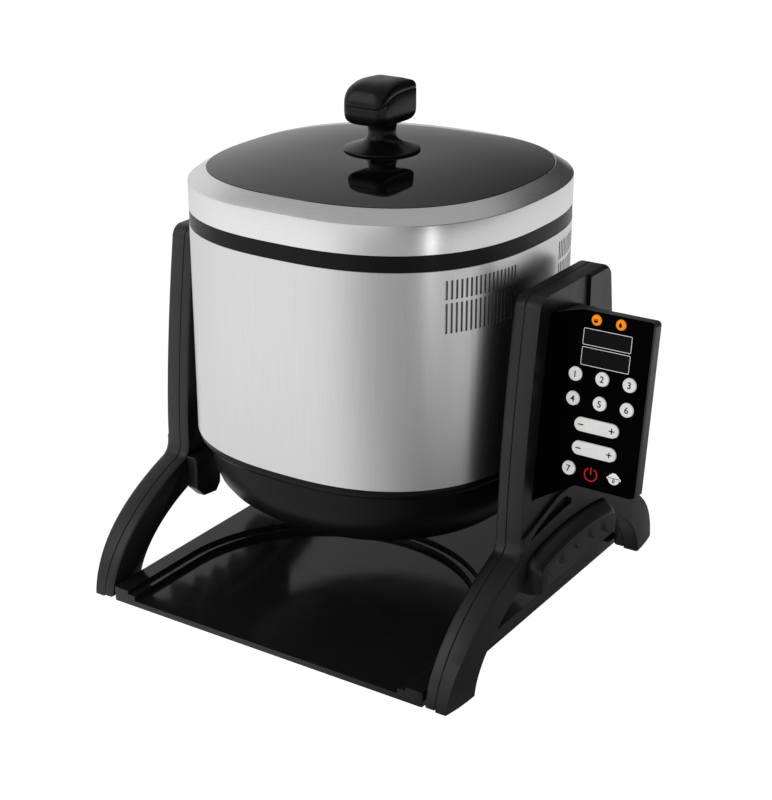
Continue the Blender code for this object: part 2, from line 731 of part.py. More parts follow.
def build_knob():
    base = LID_TOP + GLASS_CROWN
    stem = [(0, 0.4400), (0.0175, 0.4400), (0.0140, 0.4350), (0.0126, 0.4310), (0.0126, 0.4260)]
    stem += [(0.0134, 0.4222), (0.0160, 0.4195), (0.0220, 0.4168), (0.0290, 0.4142), (0.0335, 0.4126)]
    stem += [(0.0340, base + 0.0006), (0.0335, base + GAP), (0.0022, base + GAP)]
    stem += [(0.0022, 0.4200), (0, 0.4200)]
    body = turned("knob_body", stem, "satin", LID, steps=32)
    head = [knob_ring(0.0150, -0.0210, 0.0150, 0.4350), knob_ring(0.0188, -0.0285, 0.0205, 0.4370)]
    head += [knob_ring(0.0208, -0.0320, 0.0232, 0.4405), knob_ring(0.0215, -0.0330, 0.0240, 0.4440)]
    head += [knob_ring(0.0215, -0.0330, 0.0240, 0.4520, 0.0112)]
    head += [knob_ring(0.0190, -0.0305, 0.0215, 0.4520, 0.0112), knob_ring(0.0190, -0.0305, 0.0215, 0.4495)]
    cut(body, loft(head), "UNION")
    cap = [knob_ring(0.0187, -0.0302, 0.0212, 0.4498), knob_ring(0.0187, -0.0302, 0.0212, 0.4523, 0.0112)]
    cap += [knob_ring(0.0215, -0.0330, 0.0240, 0.4523, 0.0112)]
    cap += [knob_ring(0.0206, -0.0324, 0.0238, 0.4570, 0.0115, 5, 0.0010)]
    cap += [knob_ring(0.0190, -0.0308, 0.0230, 0.4610, 0.0103, 5, 0.0020)]
    cap += [knob_ring(0.0160, -0.0275, 0.0205, 0.4665, 0.0062, 4, 0.0022)]
    cap += [knob_ring(0.0095, -0.0170, 0.0120, OVERALL_HEIGHT)]
    shade(place("knob_cap", loft(cap), "gloss", LID))
    low = LID_TOP + GLASS_CROWN - 0.0043 - GAP
    screw = [(0, 0.4190), (0.0019, 0.4190), (0.0019, low), (0.0045, low)]
    screw += [(0.0042, low - 0.0022), (0, low - 0.0026)]
    turned("knob_screw", screw, "bright", LID, steps=20)


# Tilt drive


def gear_outline(teeth, turn):
    """An involute gear's outline about the origin, with the middle of one tooth at the angle turn."""
    pitch = GEAR_MODULE * teeth / 2
    base = pitch * math.cos(PRESSURE_ANGLE)
    tip = pitch + 0.95 * GEAR_MODULE
    root = pitch - 1.25 * GEAR_MODULE
    half_at_pitch = (math.pi * GEAR_MODULE / 2 - GEAR_BACKLASH) / (2 * pitch)
    spread = math.tan(PRESSURE_ANGLE) - PRESSURE_ANGLE
    start = max(base, root)
    flank = []
    for radius in (start, tip):
        roll = math.acos(min(1.0, base / radius))
        flank.append((radius, half_at_pitch + spread - (math.tan(roll) - roll)))
    points = []
    for k in range(teeth):
        middle = turn + 2 * math.pi * k / teeth
        tooth = [(root, -flank[0][1] * 1.02)] + [(radius, -half) for radius, half in flank]
        tooth += [(radius, half) for radius, half in reversed(flank)] + [(root, flank[0][1] * 1.02)]
        points += [(radius * math.cos(middle + a), radius * math.sin(middle + a)) for radius, a in tooth]
    return points


def build_tilt_drive():
    for label, side, parent in (("left", -1, TILT), ("right", 1, TILT)):
        profile = [(0, 0.1897), (0.0058, 0.1897), (0.0060, 0.1830), (0.0080, 0.1825), (0.0080, 0.1690),
                   (0.0150, 0.1680), (0.0260, 0.1640), (0.0260, 0.1606), (0.0090, 0.1606), (0.0090, 0.1560),
                   (0, 0.1560)]
        shaft = turned("trunnion_" + label, profile, "bright", parent, (0, TILT_HEIGHT), "X", 24)
        bush = [(0.0180, 0.1795), (0.0180, 0.1735), (0.0131, 0.1735), (0.0131, 0.1712), (0.0085, 0.1712),
                (0.0085, 0.1795)]
        bearing = turned("bush_" + label, bush, "brass", ASSEMBLY, (0, TILT_HEIGHT), "X", 24)
        if side < 0:
            for part in (shaft, bearing):
                part.data.transform(Matrix.Diagonal((-1, 1, 1, 1)))
                part.data.flip_normals()
    gear = place("tilt_gear", yz_prism(gear_outline(GEAR_TEETH, -math.pi / 2), 0.1840, 0.1888), "satin", TILT)
    gear.data.transform(Matrix.Translation((0, 0, TILT_HEIGHT)))
    bore = cylinder(0.0064, 0.180, 0.195, "X", sides=24)
    bore.transform(Matrix.Translation((0, 0, TILT_HEIGHT)))
    cut(gear, bore)
    centre = TILT_HEIGHT - GEAR_SPACING
    teeth = yz_prism(gear_outline(PINION_TEETH, math.pi / 2 + math.pi / PINION_TEETH), 0.1845, 0.1885)
    teeth.transform(Matrix.Translation((0, 0, centre)))
    pinion = place("tilt_pinion", teeth, "brass", PINION)
    cut(pinion, cylinder(0.0030, 0.1760, 0.1850, "X", (0, centre), sides=20), "UNION")
    motor = cylinder(0.0260, 0.1736, 0.1828, "X", (0, centre - 0.004), sides=40)
    housing = place("tilt_motor", motor, "bright", ASSEMBLY)
    cut(housing, cylinder(0.0034, 0.1755, 0.190, "X", (0, centre), sides=20))
    shade(housing)


# Control wing


def panel_curve(steps, radius, start, level):
    """The concave front line from the stand's face to the flat panel, in X and depth."""
    points = []
    for k in range(steps + 1):
        turn = math.radians(180 - 90 * k / steps)
        points.append((start + radius + radius * math.cos(turn), level - radius + radius * math.sin(turn)))
    return points


def build_wing():
    """The housing, glossy face, windows, lamps and boards, all upright in the tilted panel frame."""
    start = COLUMN_FACE + GAP
    back = FACE_THICKNESS + GAP
    tip = WING_TIP
    face_outline = panel_curve(6, 0.011, start, 0)[:-1] + [(0.2075, 0), (PANEL_RIGHT, 0)]
    face_outline += [(PANEL_RIGHT, FACE_THICKNESS), (0.2075, FACE_THICKNESS), (start, -0.0035)]
    low = WING_ROOT_BOTTOM - 0.005
    high = PANEL_TOP + 0.004
    face = panel_part("panel_face", prism(face_outline, low, high), "gloss")
    depth = WING_DEPTH
    housing_outline = [(start, -0.0030), (0.2074, back), (PANEL_RIGHT + GAP, back)]
    housing_outline += [(PANEL_RIGHT + GAP, 0.0012)]
    housing_outline += [(tip, 0.0025), (tip, depth - 0.002), (tip - 0.002, depth), (0.232, depth)]
    housing_outline += [(0.222, depth + 0.003), (0.212, depth + 0.010), (0.204, depth + 0.020)]
    housing_outline += [(start, depth + 0.030)]
    housing = panel_part("panel_housing", prism(housing_outline, low, high), "satin")
    hollow = [(0.2020, 0.0005), (0.2078, back - 0.001), (PANEL_RIGHT - 0.003, back - 0.001)]
    hollow += [(PANEL_RIGHT - 0.003, depth - 0.0025), (0.230, depth - 0.0025), (0.2020, depth + 0.004)]
    cut(housing, prism(hollow, PANEL_BOTTOM + 0.0025, PANEL_TOP - 0.0075))
    crop_wing(face, housing)
    board = box((0.2105, 0.0088, PANEL_BOTTOM + 0.008), (0.2780, 0.0104, PANEL_TOP - 0.008))
    panel_part("control_board", board, "board")
    for name, low, high in (("display_upper", 0.0655, 0.0789), ("display_lower", 0.0482, 0.0630)):
        window(face, name, low, high)
    for name, x in (("lamp_left", KEY_COLUMN - 0.0108), ("lamp_right", KEY_COLUMN + 0.0112)):
        dome = cylinder(LAMP_RADIUS, -0.0010, 0.0026, "Y", (x, 0.0871), sides=KEY_SIDES)
        lens = panel_part(name, dome, "lamp")
        shade(lens)
        cut(face, cylinder(LAMP_RADIUS + GAP, -0.01, 0.01, "Y", (x, 0.0871), sides=KEY_SIDES))
    return face


def crop_wing(face, housing):
    """Slopes the wing's top and bottom edges down towards the stand, and rounds its two free corners."""
    steps = ((0.0042, 0), (0.0028, 0.0007), (0.0012, 0.0020), (-0.0010, 0.0042))
    outline = [(0.1800, WING_ROOT_BOTTOM - 0.0095), (0.2290, PANEL_BOTTOM)]
    outline += [(WING_TIP - left, PANEL_BOTTOM + up) for left, up in steps]
    outline += [(WING_TIP - left, PANEL_TOP - down) for left, down in reversed(steps)]
    outline += [(0.2190, PANEL_TOP), (0.1800, PANEL_TOP - 0.0099)]
    upright = Matrix.Rotation(math.pi / 2, 4, "X")
    for part in (face, housing):
        cut(part, prism(outline, -0.06, 0.06, upright), "INTERSECT")


def window(face, name, low, high):
    """A display window in the face, with its opening."""
    left, right = KEY_COLUMN - 0.0208, KEY_COLUMN + 0.0222
    glass = box((left, 0.0002, low), (right, 0.0026, high))
    panel_part(name, glass, "glass")
    cut(face, box((left - GAP, -0.01, low - GAP), (right + GAP, 0.01, high + GAP)))


def panel_part(name, mesh, look, parent=None):
    """A part whose mesh is given in the panel frame: X, depth into the panel, and height along it."""
    made = bpy.data.objects.new(name, mesh)
    mesh.name = name
    PARTS.objects.link(made)
    mesh.materials.append(material(name, look))
    made.parent = parent or PANEL
    return made


def pill_outline(length, radius, steps=6):
    """A pill outline about the origin, in X and height."""
    points = []
    for centre, start in ((length / 2 - radius, -90), (-(length / 2 - radius), 90)):
        for k in range(steps + 1):
            turn = math.radians(start + 180 * k / steps)
            points.append((centre + radius * math.cos(turn), radius * math.sin(turn)))
    return points


def build_keys(face):
    upright = Matrix.Rotation(math.pi / 2, 4, "X")
    places = {}
    for row, height in enumerate((0.0391, 0.0180)):
        for column in range(3):
            places["key_" + str(1 + 3 * row + column)] = (KEY_COLUMN + (column - 1) * KEY_PITCH, height)
    places["key_7"] = (KEY_COLUMN - 0.0218, -0.0425)
    places["key_power"] = (KEY_COLUMN - 0.0008, -0.0435)
    places["key_8"] = (KEY_COLUMN + 0.0204, -0.0428)
    for name, (x, height) in places.items():
        centre = empty(name + "_axis", (x, 0, height), PANEL)
        radius = 0.0068 if name in ("key_8", "key_power") else KEY_RADIUS
        look = "gloss" if name in ("key_8", "key_power") else "key"
        key = panel_part(name, cylinder(radius, -KEY_PROUD, 0.0034, "Y", sides=KEY_SIDES), look, centre)
        cut_here(key, cylinder(radius + 0.0014, 0.0033, 0.0048, "Y", sides=12), "UNION")
        shade(key)
        cut(face, cylinder(radius + GAP, -0.01, 0.01, "Y", (x, height), sides=KEY_SIDES))
    for name, height in (("rocker_heat", -0.0025), ("rocker_time", -0.0231)):
        centre = empty(name + "_axis", (KEY_COLUMN - 0.0005, 0.002, height), PANEL)
        pill = prism(pill_outline(ROCKER_LENGTH, KEY_RADIUS), -0.0034, KEY_PROUD, upright)
        pill.transform(Matrix.Translation((0, -0.002, 0)))
        key = panel_part(name, pill, "key", centre)
        flange = prism(pill_outline(ROCKER_LENGTH + 0.0020, KEY_RADIUS + 0.0010), -0.0048, -0.0042, upright)
        neck = prism(pill_outline(ROCKER_LENGTH - 0.004, KEY_RADIUS - 0.001), -0.0045, -0.0030, upright)
        for piece in (flange, neck):
            piece.transform(Matrix.Translation((0, -0.002, 0)))
        cut_here(key, neck, "UNION")
        cut_here(key, flange, "UNION")
        shade(key)
        hole = prism(pill_outline(ROCKER_LENGTH + 0.0008, KEY_RADIUS + 0.0003), -0.01, 0.01, upright)
        hole.transform(Matrix.Translation((KEY_COLUMN - 0.0005, 0, height)))
        cut(face, hole)


def cut_here(obj, mesh, operation):
    """Cuts or joins with a mesh given in the object's own frame."""
    tool = cut(obj, mesh, operation)
    tool.parent = obj.parent
    tool.location = obj.location


# Boards, inlet and cover inside the stands


def build_fittings():
    low, high = -0.1885, -0.1745
    board = place("power_board", box((low, -0.050, 0.140), (low + 0.0016, 0.050, 0.205)), "board", ASSEMBLY)
    for y, z, size in ((-0.030, 0.180, 0.010), (0.0, 0.165, 0.012), (0.028, 0.185, 0.009)):
        part = box((low + 0.0012, y - size, z - size), (high - 0.0015, y + size, z + size))
        cut(board, part, "UNION")
    inlet = place("mains_inlet", box((0.1736, 0.0585, 0.1350), (0.1934, 0.0820, 0.1620)), "satin", ASSEMBLY)
    cut(inlet, box((0.1757, 0.0665, 0.1367), (0.1913, 0.1000, 0.1603)))
    for x, z in ((0.1825, 0.1415), (0.1875, 0.1485), (0.1825, 0.1555)):
        cut(inlet, box((x - 0.002, 0.0640, z - 0.001), (x + 0.002, 0.0800, z + 0.001)), "UNION")
    for shell in ("stand_inner_right", "stand_outer_right"):
        tool = box((0.1733, 0.0580, 0.1347), (0.1937, 0.1000, 0.1623))
        cut(bpy.data.objects[shell], tool)
    cover = [(-0.083, 0.104), (-0.083, 0.072), (-0.071, 0.060), (-0.053, 0.058), (-0.046, 0.066)]
    cover += [(-0.044, 0.104)]
    rings = [[(x, y, z) for y, z in inset(cover, depth)] for x, depth in
             ((-STAND_INNER_FACE + GAP, 0), (-0.1615, 0), (-0.1585, 0.003))]
    piece = place("cable_cover", loft(rings), "satin", ASSEMBLY)
    shade(piece)


clear_scene()
PARTS = collection("tilting_cooker")
CUTTERS = collection("cutters")
CUTTERS.hide_render = True
ASSEMBLY = empty("assembly", (SHIFT_X, 0, 0))
TILT = empty("tilt_axis", (0, 0, TILT_HEIGHT), ASSEMBLY)
LID = empty("lid_lift", (0, 0, BAND_HIGH - TILT_HEIGHT), TILT)
POT = empty("pot_axis", (0, 0, 0), TILT)
FAN = empty("fan_axis", (-0.068, 0, 0.1045 - TILT_HEIGHT), TILT)
PINION = empty("pinion_axis", (0, 0, TILT_HEIGHT - GEAR_SPACING), ASSEMBLY)
PANEL = empty("panel_frame", (0, PANEL_Y, PANEL_Z), ASSEMBLY, (-PANEL_TILT, 0, 0))
build_tray()
build_stands()
build_tray_screws()
build_fittings()
build_shell_of_drum()
build_inside_of_drum()
build_fan_rotor()
build_pot()
build_lid()
build_tilt_drive()
build_keys(build_wing())
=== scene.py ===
"""The looks of a table-top tilting cooker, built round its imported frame."""

import json
import math

import bmesh
import bpy
from mathutils import Matrix, Vector


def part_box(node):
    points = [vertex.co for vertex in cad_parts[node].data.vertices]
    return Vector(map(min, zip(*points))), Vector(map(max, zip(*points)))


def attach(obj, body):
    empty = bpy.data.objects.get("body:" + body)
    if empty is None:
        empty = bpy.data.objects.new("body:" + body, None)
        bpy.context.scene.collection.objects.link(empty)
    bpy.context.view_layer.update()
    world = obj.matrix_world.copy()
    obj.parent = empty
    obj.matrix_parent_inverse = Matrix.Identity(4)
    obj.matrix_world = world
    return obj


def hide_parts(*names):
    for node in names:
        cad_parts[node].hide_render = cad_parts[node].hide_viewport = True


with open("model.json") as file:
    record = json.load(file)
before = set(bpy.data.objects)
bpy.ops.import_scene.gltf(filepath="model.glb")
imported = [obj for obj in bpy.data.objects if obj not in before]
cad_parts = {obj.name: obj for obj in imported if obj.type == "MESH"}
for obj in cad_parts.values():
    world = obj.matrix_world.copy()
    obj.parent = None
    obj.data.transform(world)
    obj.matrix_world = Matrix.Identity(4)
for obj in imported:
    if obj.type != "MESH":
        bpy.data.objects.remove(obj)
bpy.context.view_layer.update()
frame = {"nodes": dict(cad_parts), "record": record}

NODES = frame["nodes"]
RING_LOW, RING_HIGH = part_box("lid_ring")
JACKET_LOW, JACKET_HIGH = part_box("steel_jacket")
TRAY_LOW, TRAY_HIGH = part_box("base_tray")
AXIS_X = (RING_LOW.x + RING_HIGH.x) / 2
PANEL_TILT = math.radians(7.3)
SHIFT = Matrix.Translation((AXIS_X, 0, 0))
PANEL = Matrix.Translation((AXIS_X, -0.046, 0.220)) @ Matrix.Rotation(-PANEL_TILT, 4, "X")
YZ = Matrix(((0, 0, 1), (1, 0, 0), (0, 1, 0))).to_4x4()
GAP = 0.0003


# Mesh helpers


def mesh_of(fill, name="mesh"):
    data = bmesh.new()
    fill(data)
    mesh = bpy.data.meshes.new(name)
    data.to_mesh(mesh)
    data.free()
    return mesh


def loft(rings, joined=False):
    """A closed mesh through rings with equally many points."""

    def fill(data):
        loops = [[data.verts.new(point) for point in ring] for ring in rings]
        for low, high in zip(loops, loops[1:] + (loops[:1] if joined else [])):
            for i in range(len(low)):
                j = (i + 1) % len(low)
                data.faces.new((low[i], low[j], high[j], high[i]))
        if not joined:
            data.faces.new(list(reversed(loops[0])))
            data.faces.new(loops[-1])
        bmesh.ops.recalc_face_normals(data, faces=data.faces)

    return mesh_of(fill)


def prism(points, low, high, place=None):
    """A flat outline given in two axes, extruded along the third."""
    mesh = loft([[(u, v, low) for u, v in points], [(u, v, high) for u, v in points]])
    if place is not None:
        mesh.transform(place)
    return mesh


def yz_prism(points, low, high):
    return prism(points, min(low, high), max(low, high), YZ)


def xz_prism(points, low, high):
    """An outline in X and height, extruded in depth from low to high."""
    mesh = prism(points, -high, -low, Matrix.Rotation(math.pi / 2, 4, "X"))
    return mesh


def box(low, high):
    size = [b - a for a, b in zip(low, high)]
    middle = [(a + b) / 2 for a, b in zip(low, high)]
    place = Matrix.Translation(middle) @ Matrix.Diagonal((*size, 1))
    return mesh_of(lambda data: bmesh.ops.create_cube(data, size=1, matrix=place))


def joined(meshes):
    """Several meshes in one."""

    def fill(data):
        for mesh in meshes:
            data.from_mesh(mesh)

    return mesh_of(fill)


def turned(profile, axis="Z", centre=(0, 0), steps=64):
    """A turned mesh. The profile lists radius and height round the section."""
    rings = []
    for k in range(steps):
        turn = 2 * math.pi * k / steps
        ring = []
        for radius, height in profile:
            point = (radius * math.cos(turn), radius * math.sin(turn), height)
            ring.append(point)
        rings.append(ring)

    def fill(data):
        loops = [[data.verts.new(point) for point in ring] for ring in rings]
        count = len(profile)
        for first, second in zip(loops, loops[1:] + loops[:1]):
            for i in range(count - 1):
                data.faces.new((first[i], second[i], second[i + 1], first[i + 1]))
        bmesh.ops.remove_doubles(data, verts=data.verts, dist=0.000001)
        bmesh.ops.recalc_face_normals(data, faces=data.faces)

    mesh = mesh_of(fill)
    if axis == "X":
        mesh.transform(YZ)
        mesh.transform(Matrix.Translation((0, centre[0], centre[1])))
    elif axis == "Y":
        mesh.transform(Matrix.Rotation(math.pi / 2, 4, "X"))
        mesh.transform(Matrix.Translation((centre[0], 0, centre[1])))
    else:
        mesh.transform(Matrix.Translation((centre[0], centre[1], 0)))
    return mesh


def linked(name, mesh):
    made = bpy.data.objects.new(name, mesh)
    bpy.context.scene.collection.objects.link(made)
    return made


def carve(mesh, tool_mesh, operation="DIFFERENCE"):
    """A mesh cut, joined or cropped with another."""
    body = linked("body", mesh)
    tool = linked("tool", tool_mesh)
    step = body.modifiers.new("carve", "BOOLEAN")
    step.operation = operation
    step.solver = "EXACT"
    step.object = tool
    graph = bpy.context.evaluated_depsgraph_get()
    result = bpy.data.meshes.new_from_object(body.evaluated_get(graph))
    bpy.data.objects.remove(body, do_unlink=True)
    bpy.data.objects.remove(tool, do_unlink=True)
    return result


def piece(name, mesh, look, body, slot, nodes=(), place=SHIFT, bevel=0.0, angle=30, segments=2):
    """A finished piece: placed, softened, shaded, and told what it rides on; the CAD nodes it stands for are
    hidden.
    """
    mesh.transform(place)
    mesh.name = name
    made = linked(name, mesh)
    mesh.materials.clear()
    mesh.materials.append(look)
    mesh.shade_smooth()
    if bevel:
        soft = made.modifiers.new("soft edges", "BEVEL")
        soft.width = bevel
        soft.segments = segments
        soft.limit_method = "ANGLE"
        soft.angle_limit = math.radians(angle)
        soft.use_clamp_overlap = True
        soft.harden_normals = True
        soft.miter_outer = "MITER_ARC"
    else:
        mesh.set_sharp_from_angle(angle=math.radians(angle))
    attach(made, body)
    if nodes:
        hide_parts(*nodes)
    return made


def squircle(half, height, corner=2.5, count=192):
    points = []
    for i in range(count):
        turn = 2 * math.pi * (i + 0.5) / count
        c, s = math.cos(turn), math.sin(turn)
        reach = half * (abs(c) ** corner + abs(s) ** corner) ** (-1 / corner)
        points.append((reach * c, reach * s, height))
    return points


def inset(points, distance):
    moved = []
    count = len(points)
    for i in range(count):
        before, here, after = (Vector(points[(i + k) % count]) for k in (-1, 0, 1))
        first = (here - before).normalized()
        second = (after - here).normalized()
        normal = Vector((-first.y - second.y, first.x + second.x)).normalized()
        mitre = max(0.35, normal.dot(Vector((-first.y, first.x))))
        moved.append(tuple(here + normal * (distance / mitre)))
    return moved


def round_outline(u, v, radius, count=48):
    turns = [2 * math.pi * k / count for k in range(count)]
    return [(u + radius * math.cos(turn), v + radius * math.sin(turn)) for turn in turns]


def rounded_box(low, high, radius, steps=6):
    points = []
    for u, v, start in ((high[0] - radius, low[1] + radius, -90), (high[0] - radius, high[1] - radius, 0),
                        (low[0] + radius, high[1] - radius, 90), (low[0] + radius, low[1] + radius, 180)):
        for k in range(steps + 1):
            turn = math.radians(start + 90 * k / steps)
            points.append((u + radius * math.cos(turn), v + radius * math.sin(turn)))
    return points


# Materials


def shader_of(name):
    made = bpy.data.materials.new(name)
    made.use_nodes = True
    return made, made.node_tree, made.node_tree.nodes["Principled BSDF"]


def noise(tree, scale, stretch=(1, 1, 1), detail=3.0):
    """Noise in the object's own coordinates, stretched along its axes."""
    nodes, links = tree.nodes, tree.links
    where = nodes.new("ShaderNodeTexCoord")
    mapping = nodes.new("ShaderNodeMapping")
    mapping.inputs["Scale"].default_value = stretch
    texture = nodes.new("ShaderNodeTexNoise")
    texture.inputs["Scale"].default_value = scale
    texture.inputs["Detail"].default_value = detail
    links.new(where.outputs["Object"], mapping.inputs["Vector"])
    links.new(mapping.outputs["Vector"], texture.inputs["Vector"])
    return texture.outputs["Fac"]


def remap(tree, value, low, high, start=0.3, end=0.7):
    node = tree.nodes.new("ShaderNodeMapRange")
    node.inputs["From Min"].default_value = start
    node.inputs["From Max"].default_value = end
    node.inputs["To Min"].default_value = low
    node.inputs["To Max"].default_value = high
    tree.links.new(value, node.inputs["Value"])
    return node.outputs["Result"]


def tinted(tree, value, dark, light):
    node = tree.nodes.new("ShaderNodeMix")
    node.data_type = "RGBA"
    node.inputs["A"].default_value = (*dark, 1)
    node.inputs["B"].default_value = (*light, 1)
    tree.links.new(value, node.inputs["Factor"])
    return node.outputs["Result"]


def bumped(tree, shader, value, strength, distance):
    node = tree.nodes.new("ShaderNodeBump")
    node.inputs["Strength"].default_value = strength
    node.inputs["Distance"].default_value = distance
    tree.links.new(value, node.inputs["Height"])
    tree.links.new(node.outputs["Normal"], shader.inputs["Normal"])


def plastic(name, dark, light, rough, grain=0.0, coat=0.0, specular=0.5, scale=900):
    """Moulded plastic: slight tone and gloss changes, and a fine moulded texture."""
    made, tree, shader = shader_of(name)
    broad = remap(tree, noise(tree, 9), 0, 1)
    tree.links.new(tinted(tree, broad, dark, light), shader.inputs["Base Color"])
    tree.links.new(remap(tree, noise(tree, 40), rough[0], rough[1]), shader.inputs["Roughness"])
    shader.inputs["Specular IOR Level"].default_value = specular
    if coat:
        shader.inputs["Coat Weight"].default_value = coat
        shader.inputs["Coat Roughness"].default_value = 0.03
    if grain:
        bumped(tree, shader, noise(tree, scale, detail=2), grain, 0.0002)
    return made


def metal(name, dark, light, rough, stretch=(1, 1, 1), scale=60, grain=0.05):
    """Metal with a directional grain in its tone, gloss and surface."""
    made, tree, shader = shader_of(name)
    streaks = noise(tree, scale, stretch, 4)
    tree.links.new(tinted(tree, remap(tree, streaks, 0, 1), dark, light), shader.inputs["Base Color"])
    tree.links.new(remap(tree, streaks, rough[0], rough[1]), shader.inputs["Roughness"])
    shader.inputs["Metallic"].default_value = 1.0
    if grain:
        bumped(tree, shader, streaks, grain, 0.0002)
    return made


# Emission makes a part glow; on the white keys and the white print it is painted light, on the orange lamp
# lenses it is a lamp.
def glowing(name, colour, strength, rough=0.3):
    made, tree, shader = shader_of(name)
    dark = tuple(0.85 * c for c in colour)
    mottle = remap(tree, noise(tree, 300), 0, 1)
    tree.links.new(tinted(tree, mottle, dark, colour), shader.inputs["Base Color"])
    shader.inputs["Roughness"].default_value = rough
    shader.inputs["Specular IOR Level"].default_value = 0.1
    shader.inputs["Emission Color"].default_value = (*colour, 1)
    shader.inputs["Emission Strength"].default_value = strength
    return made


STEEL = metal("brushed steel", (0.70, 0.70, 0.70), (0.74, 0.74, 0.735), (0.31, 0.35), (1, 1, 0.02), 900,
              0.006)
LID_METAL = metal("lid metal", (0.80, 0.80, 0.80), (0.83, 0.83, 0.825), (0.27, 0.30), (1, 1, 8), 90, 0.0)
MESH_STEEL = metal("vent mesh", (0.30, 0.30, 0.30), (0.38, 0.38, 0.38), (0.35, 0.45), (1, 1, 1), 600, 0.02)
SATIN = plastic("satin black", (0.008, 0.008, 0.009), (0.011, 0.011, 0.012), (0.34, 0.42), 0.06,
                specular=0.45)
KNOB = plastic("knob black", (0.004, 0.004, 0.004), (0.006, 0.006, 0.006), (0.22, 0.28), 0.02, specular=0.22)
BOWL = plastic("bowl black", (0.004, 0.004, 0.004), (0.006, 0.006, 0.006), (0.30, 0.38), 0.03, specular=0.15)
GLOSS = plastic("gloss black", (0.003, 0.003, 0.0035), (0.005, 0.005, 0.0055), (0.10, 0.16), 0.0, 0.6)
TRAY = plastic("tray black", (0.013, 0.013, 0.013), (0.015, 0.015, 0.015), (0.09, 0.15), 0.01, specular=0.35)
PANEL_BLACK = plastic("panel black", (0.0015, 0.0015, 0.0018), (0.0025, 0.0025, 0.0028), (0.16, 0.24),
                      specular=0.0)
SLAB = plastic("slab black", (0.030, 0.029, 0.036), (0.038, 0.037, 0.045), (0.40, 0.50), 0.08)
GLASS = plastic("lid glass", (0.003, 0.003, 0.0035), (0.004, 0.004, 0.0045), (0.03, 0.05), 0.0, 0.0, 0.5)
WINDOW = plastic("display window", (0.001, 0.001, 0.001), (0.002, 0.002, 0.002), (0.04, 0.08), 0.0, 0.0, 0.08)
# The white keys and the white print glow with painted light.
WHITE = glowing("white key", (0.86, 0.86, 0.85), 0.28, 0.35)
PRINT = glowing("white print", (0.88, 0.88, 0.88), 0.30, 0.45)
INK = plastic("black print", (0.003, 0.003, 0.003), (0.005, 0.005, 0.005), (0.40, 0.50), specular=0.1)
RED = glowing("red print", (0.42, 0.008, 0.008), 0.5)
ORANGE = glowing("orange lens", (1.0, 0.27, 0.003), 0.5)
LOOKS = {
    "brushed_steel": STEEL,
    "lid_metal": LID_METAL,
    "satin_black": SATIN,
    "gloss_black": GLOSS,
    "dark_glass": GLASS,
    "display_window": WINDOW,
    "white_key": WHITE,
    "orange_lens": ORANGE,
    "rubber": plastic("rubber", (0.012, 0.012, 0.012), (0.02, 0.02, 0.02), (0.75, 0.85), 0.2, 0, 0.3, 500),
    "circuit_board": plastic("circuit board", (0.01, 0.10, 0.03), (0.02, 0.20, 0.07), (0.40, 0.55), 0.1),
    "brass": metal("brass", (0.55, 0.37, 0.13), (0.68, 0.48, 0.19), (0.25, 0.40)),
    "coated_pot": plastic("pot coating", (0.03, 0.03, 0.032), (0.05, 0.05, 0.053), (0.30, 0.42), 0.1),
    "shaft_steel": metal("shaft steel", (0.50, 0.50, 0.51), (0.62, 0.62, 0.63), (0.22, 0.34)),
    "screw_steel": metal("screw steel", (0.55, 0.55, 0.55), (0.68, 0.68, 0.68), (0.25, 0.35)),
    "motor_metal": metal("motor can", (0.42, 0.42, 0.43), (0.52, 0.52, 0.53), (0.35, 0.50)),
    "heater_metal": metal("heater casting", (0.30, 0.29, 0.28), (0.42, 0.41, 0.40), (0.50, 0.65), grain=0.2),
    "gear_plastic": plastic("gear plastic", (0.50, 0.49, 0.45), (0.60, 0.58, 0.53), (0.40, 0.50), 0.05),
}


# Side stands

SEAM = 0.1810
OUTER_FACE = 0.1985
INNER_FACE = 0.1707
COLUMN_FACE = 0.1955
REACH = 0.197
ARCH = (REACH, 0.1175, 1.77)
OPENING = (0.1575, 0.087, 1.8)
GRIP_HALF = 0.0745
GRIP_CROWN = 0.1005
FINGER_PITCH = 0.029
TILT_HEIGHT = 0.235
BUSH_RADIUS = 0.0135
TRUNNION_HOLE = 0.0094
SCREW_HEIGHT = 0.0108
SCREW_RADIUS = 0.0021


def arch_height(y):
    return ARCH[1] * max(0, 1 - (abs(y) / REACH) ** ARCH[2]) ** (1 / ARCH[2])


def column_half(z, narrower):
    return 0.0835 - narrower - 0.022 * (max(0, z - 0.125) / 0.2) ** 1.5


def arch_points(curve, start, stop, count):
    points = []
    for k in range(count + 1):
        turn = math.radians(start + (stop - start) * k / count)
        c, s = math.cos(turn), math.sin(turn)
        y = curve[0] * math.copysign(abs(c) ** (2 / curve[2]), c)
        points.append((y, curve[1] * abs(s) ** (2 / curve[2])))
    return points


def column_side(narrower):
    points = []
    half = 0.0835 - narrower
    foot = half + 0.009
    corner = (half, arch_height(half))
    top = (half, corner[1] + 0.011)
    start = (foot, arch_height(foot))
    for k in range(11):
        t = k / 10
        weights = ((1 - t) ** 2, 2 * t * (1 - t), t * t)
        points.append(tuple(sum(w * p[i] for w, p in zip(weights, (start, corner, top))) for i in (0, 1)))
    for k in range(1, 24):
        z = top[1] + (0.312 - top[1]) * k / 24
        points.append((column_half(z, narrower), z))
    for k in range(9):
        turn = math.radians(90 * k / 8)
        y = column_half(0.312, narrower) - 0.0123 * (1 - math.cos(turn))
        points.append((y, 0.312 + 0.0123 * math.sin(turn)))
    return points


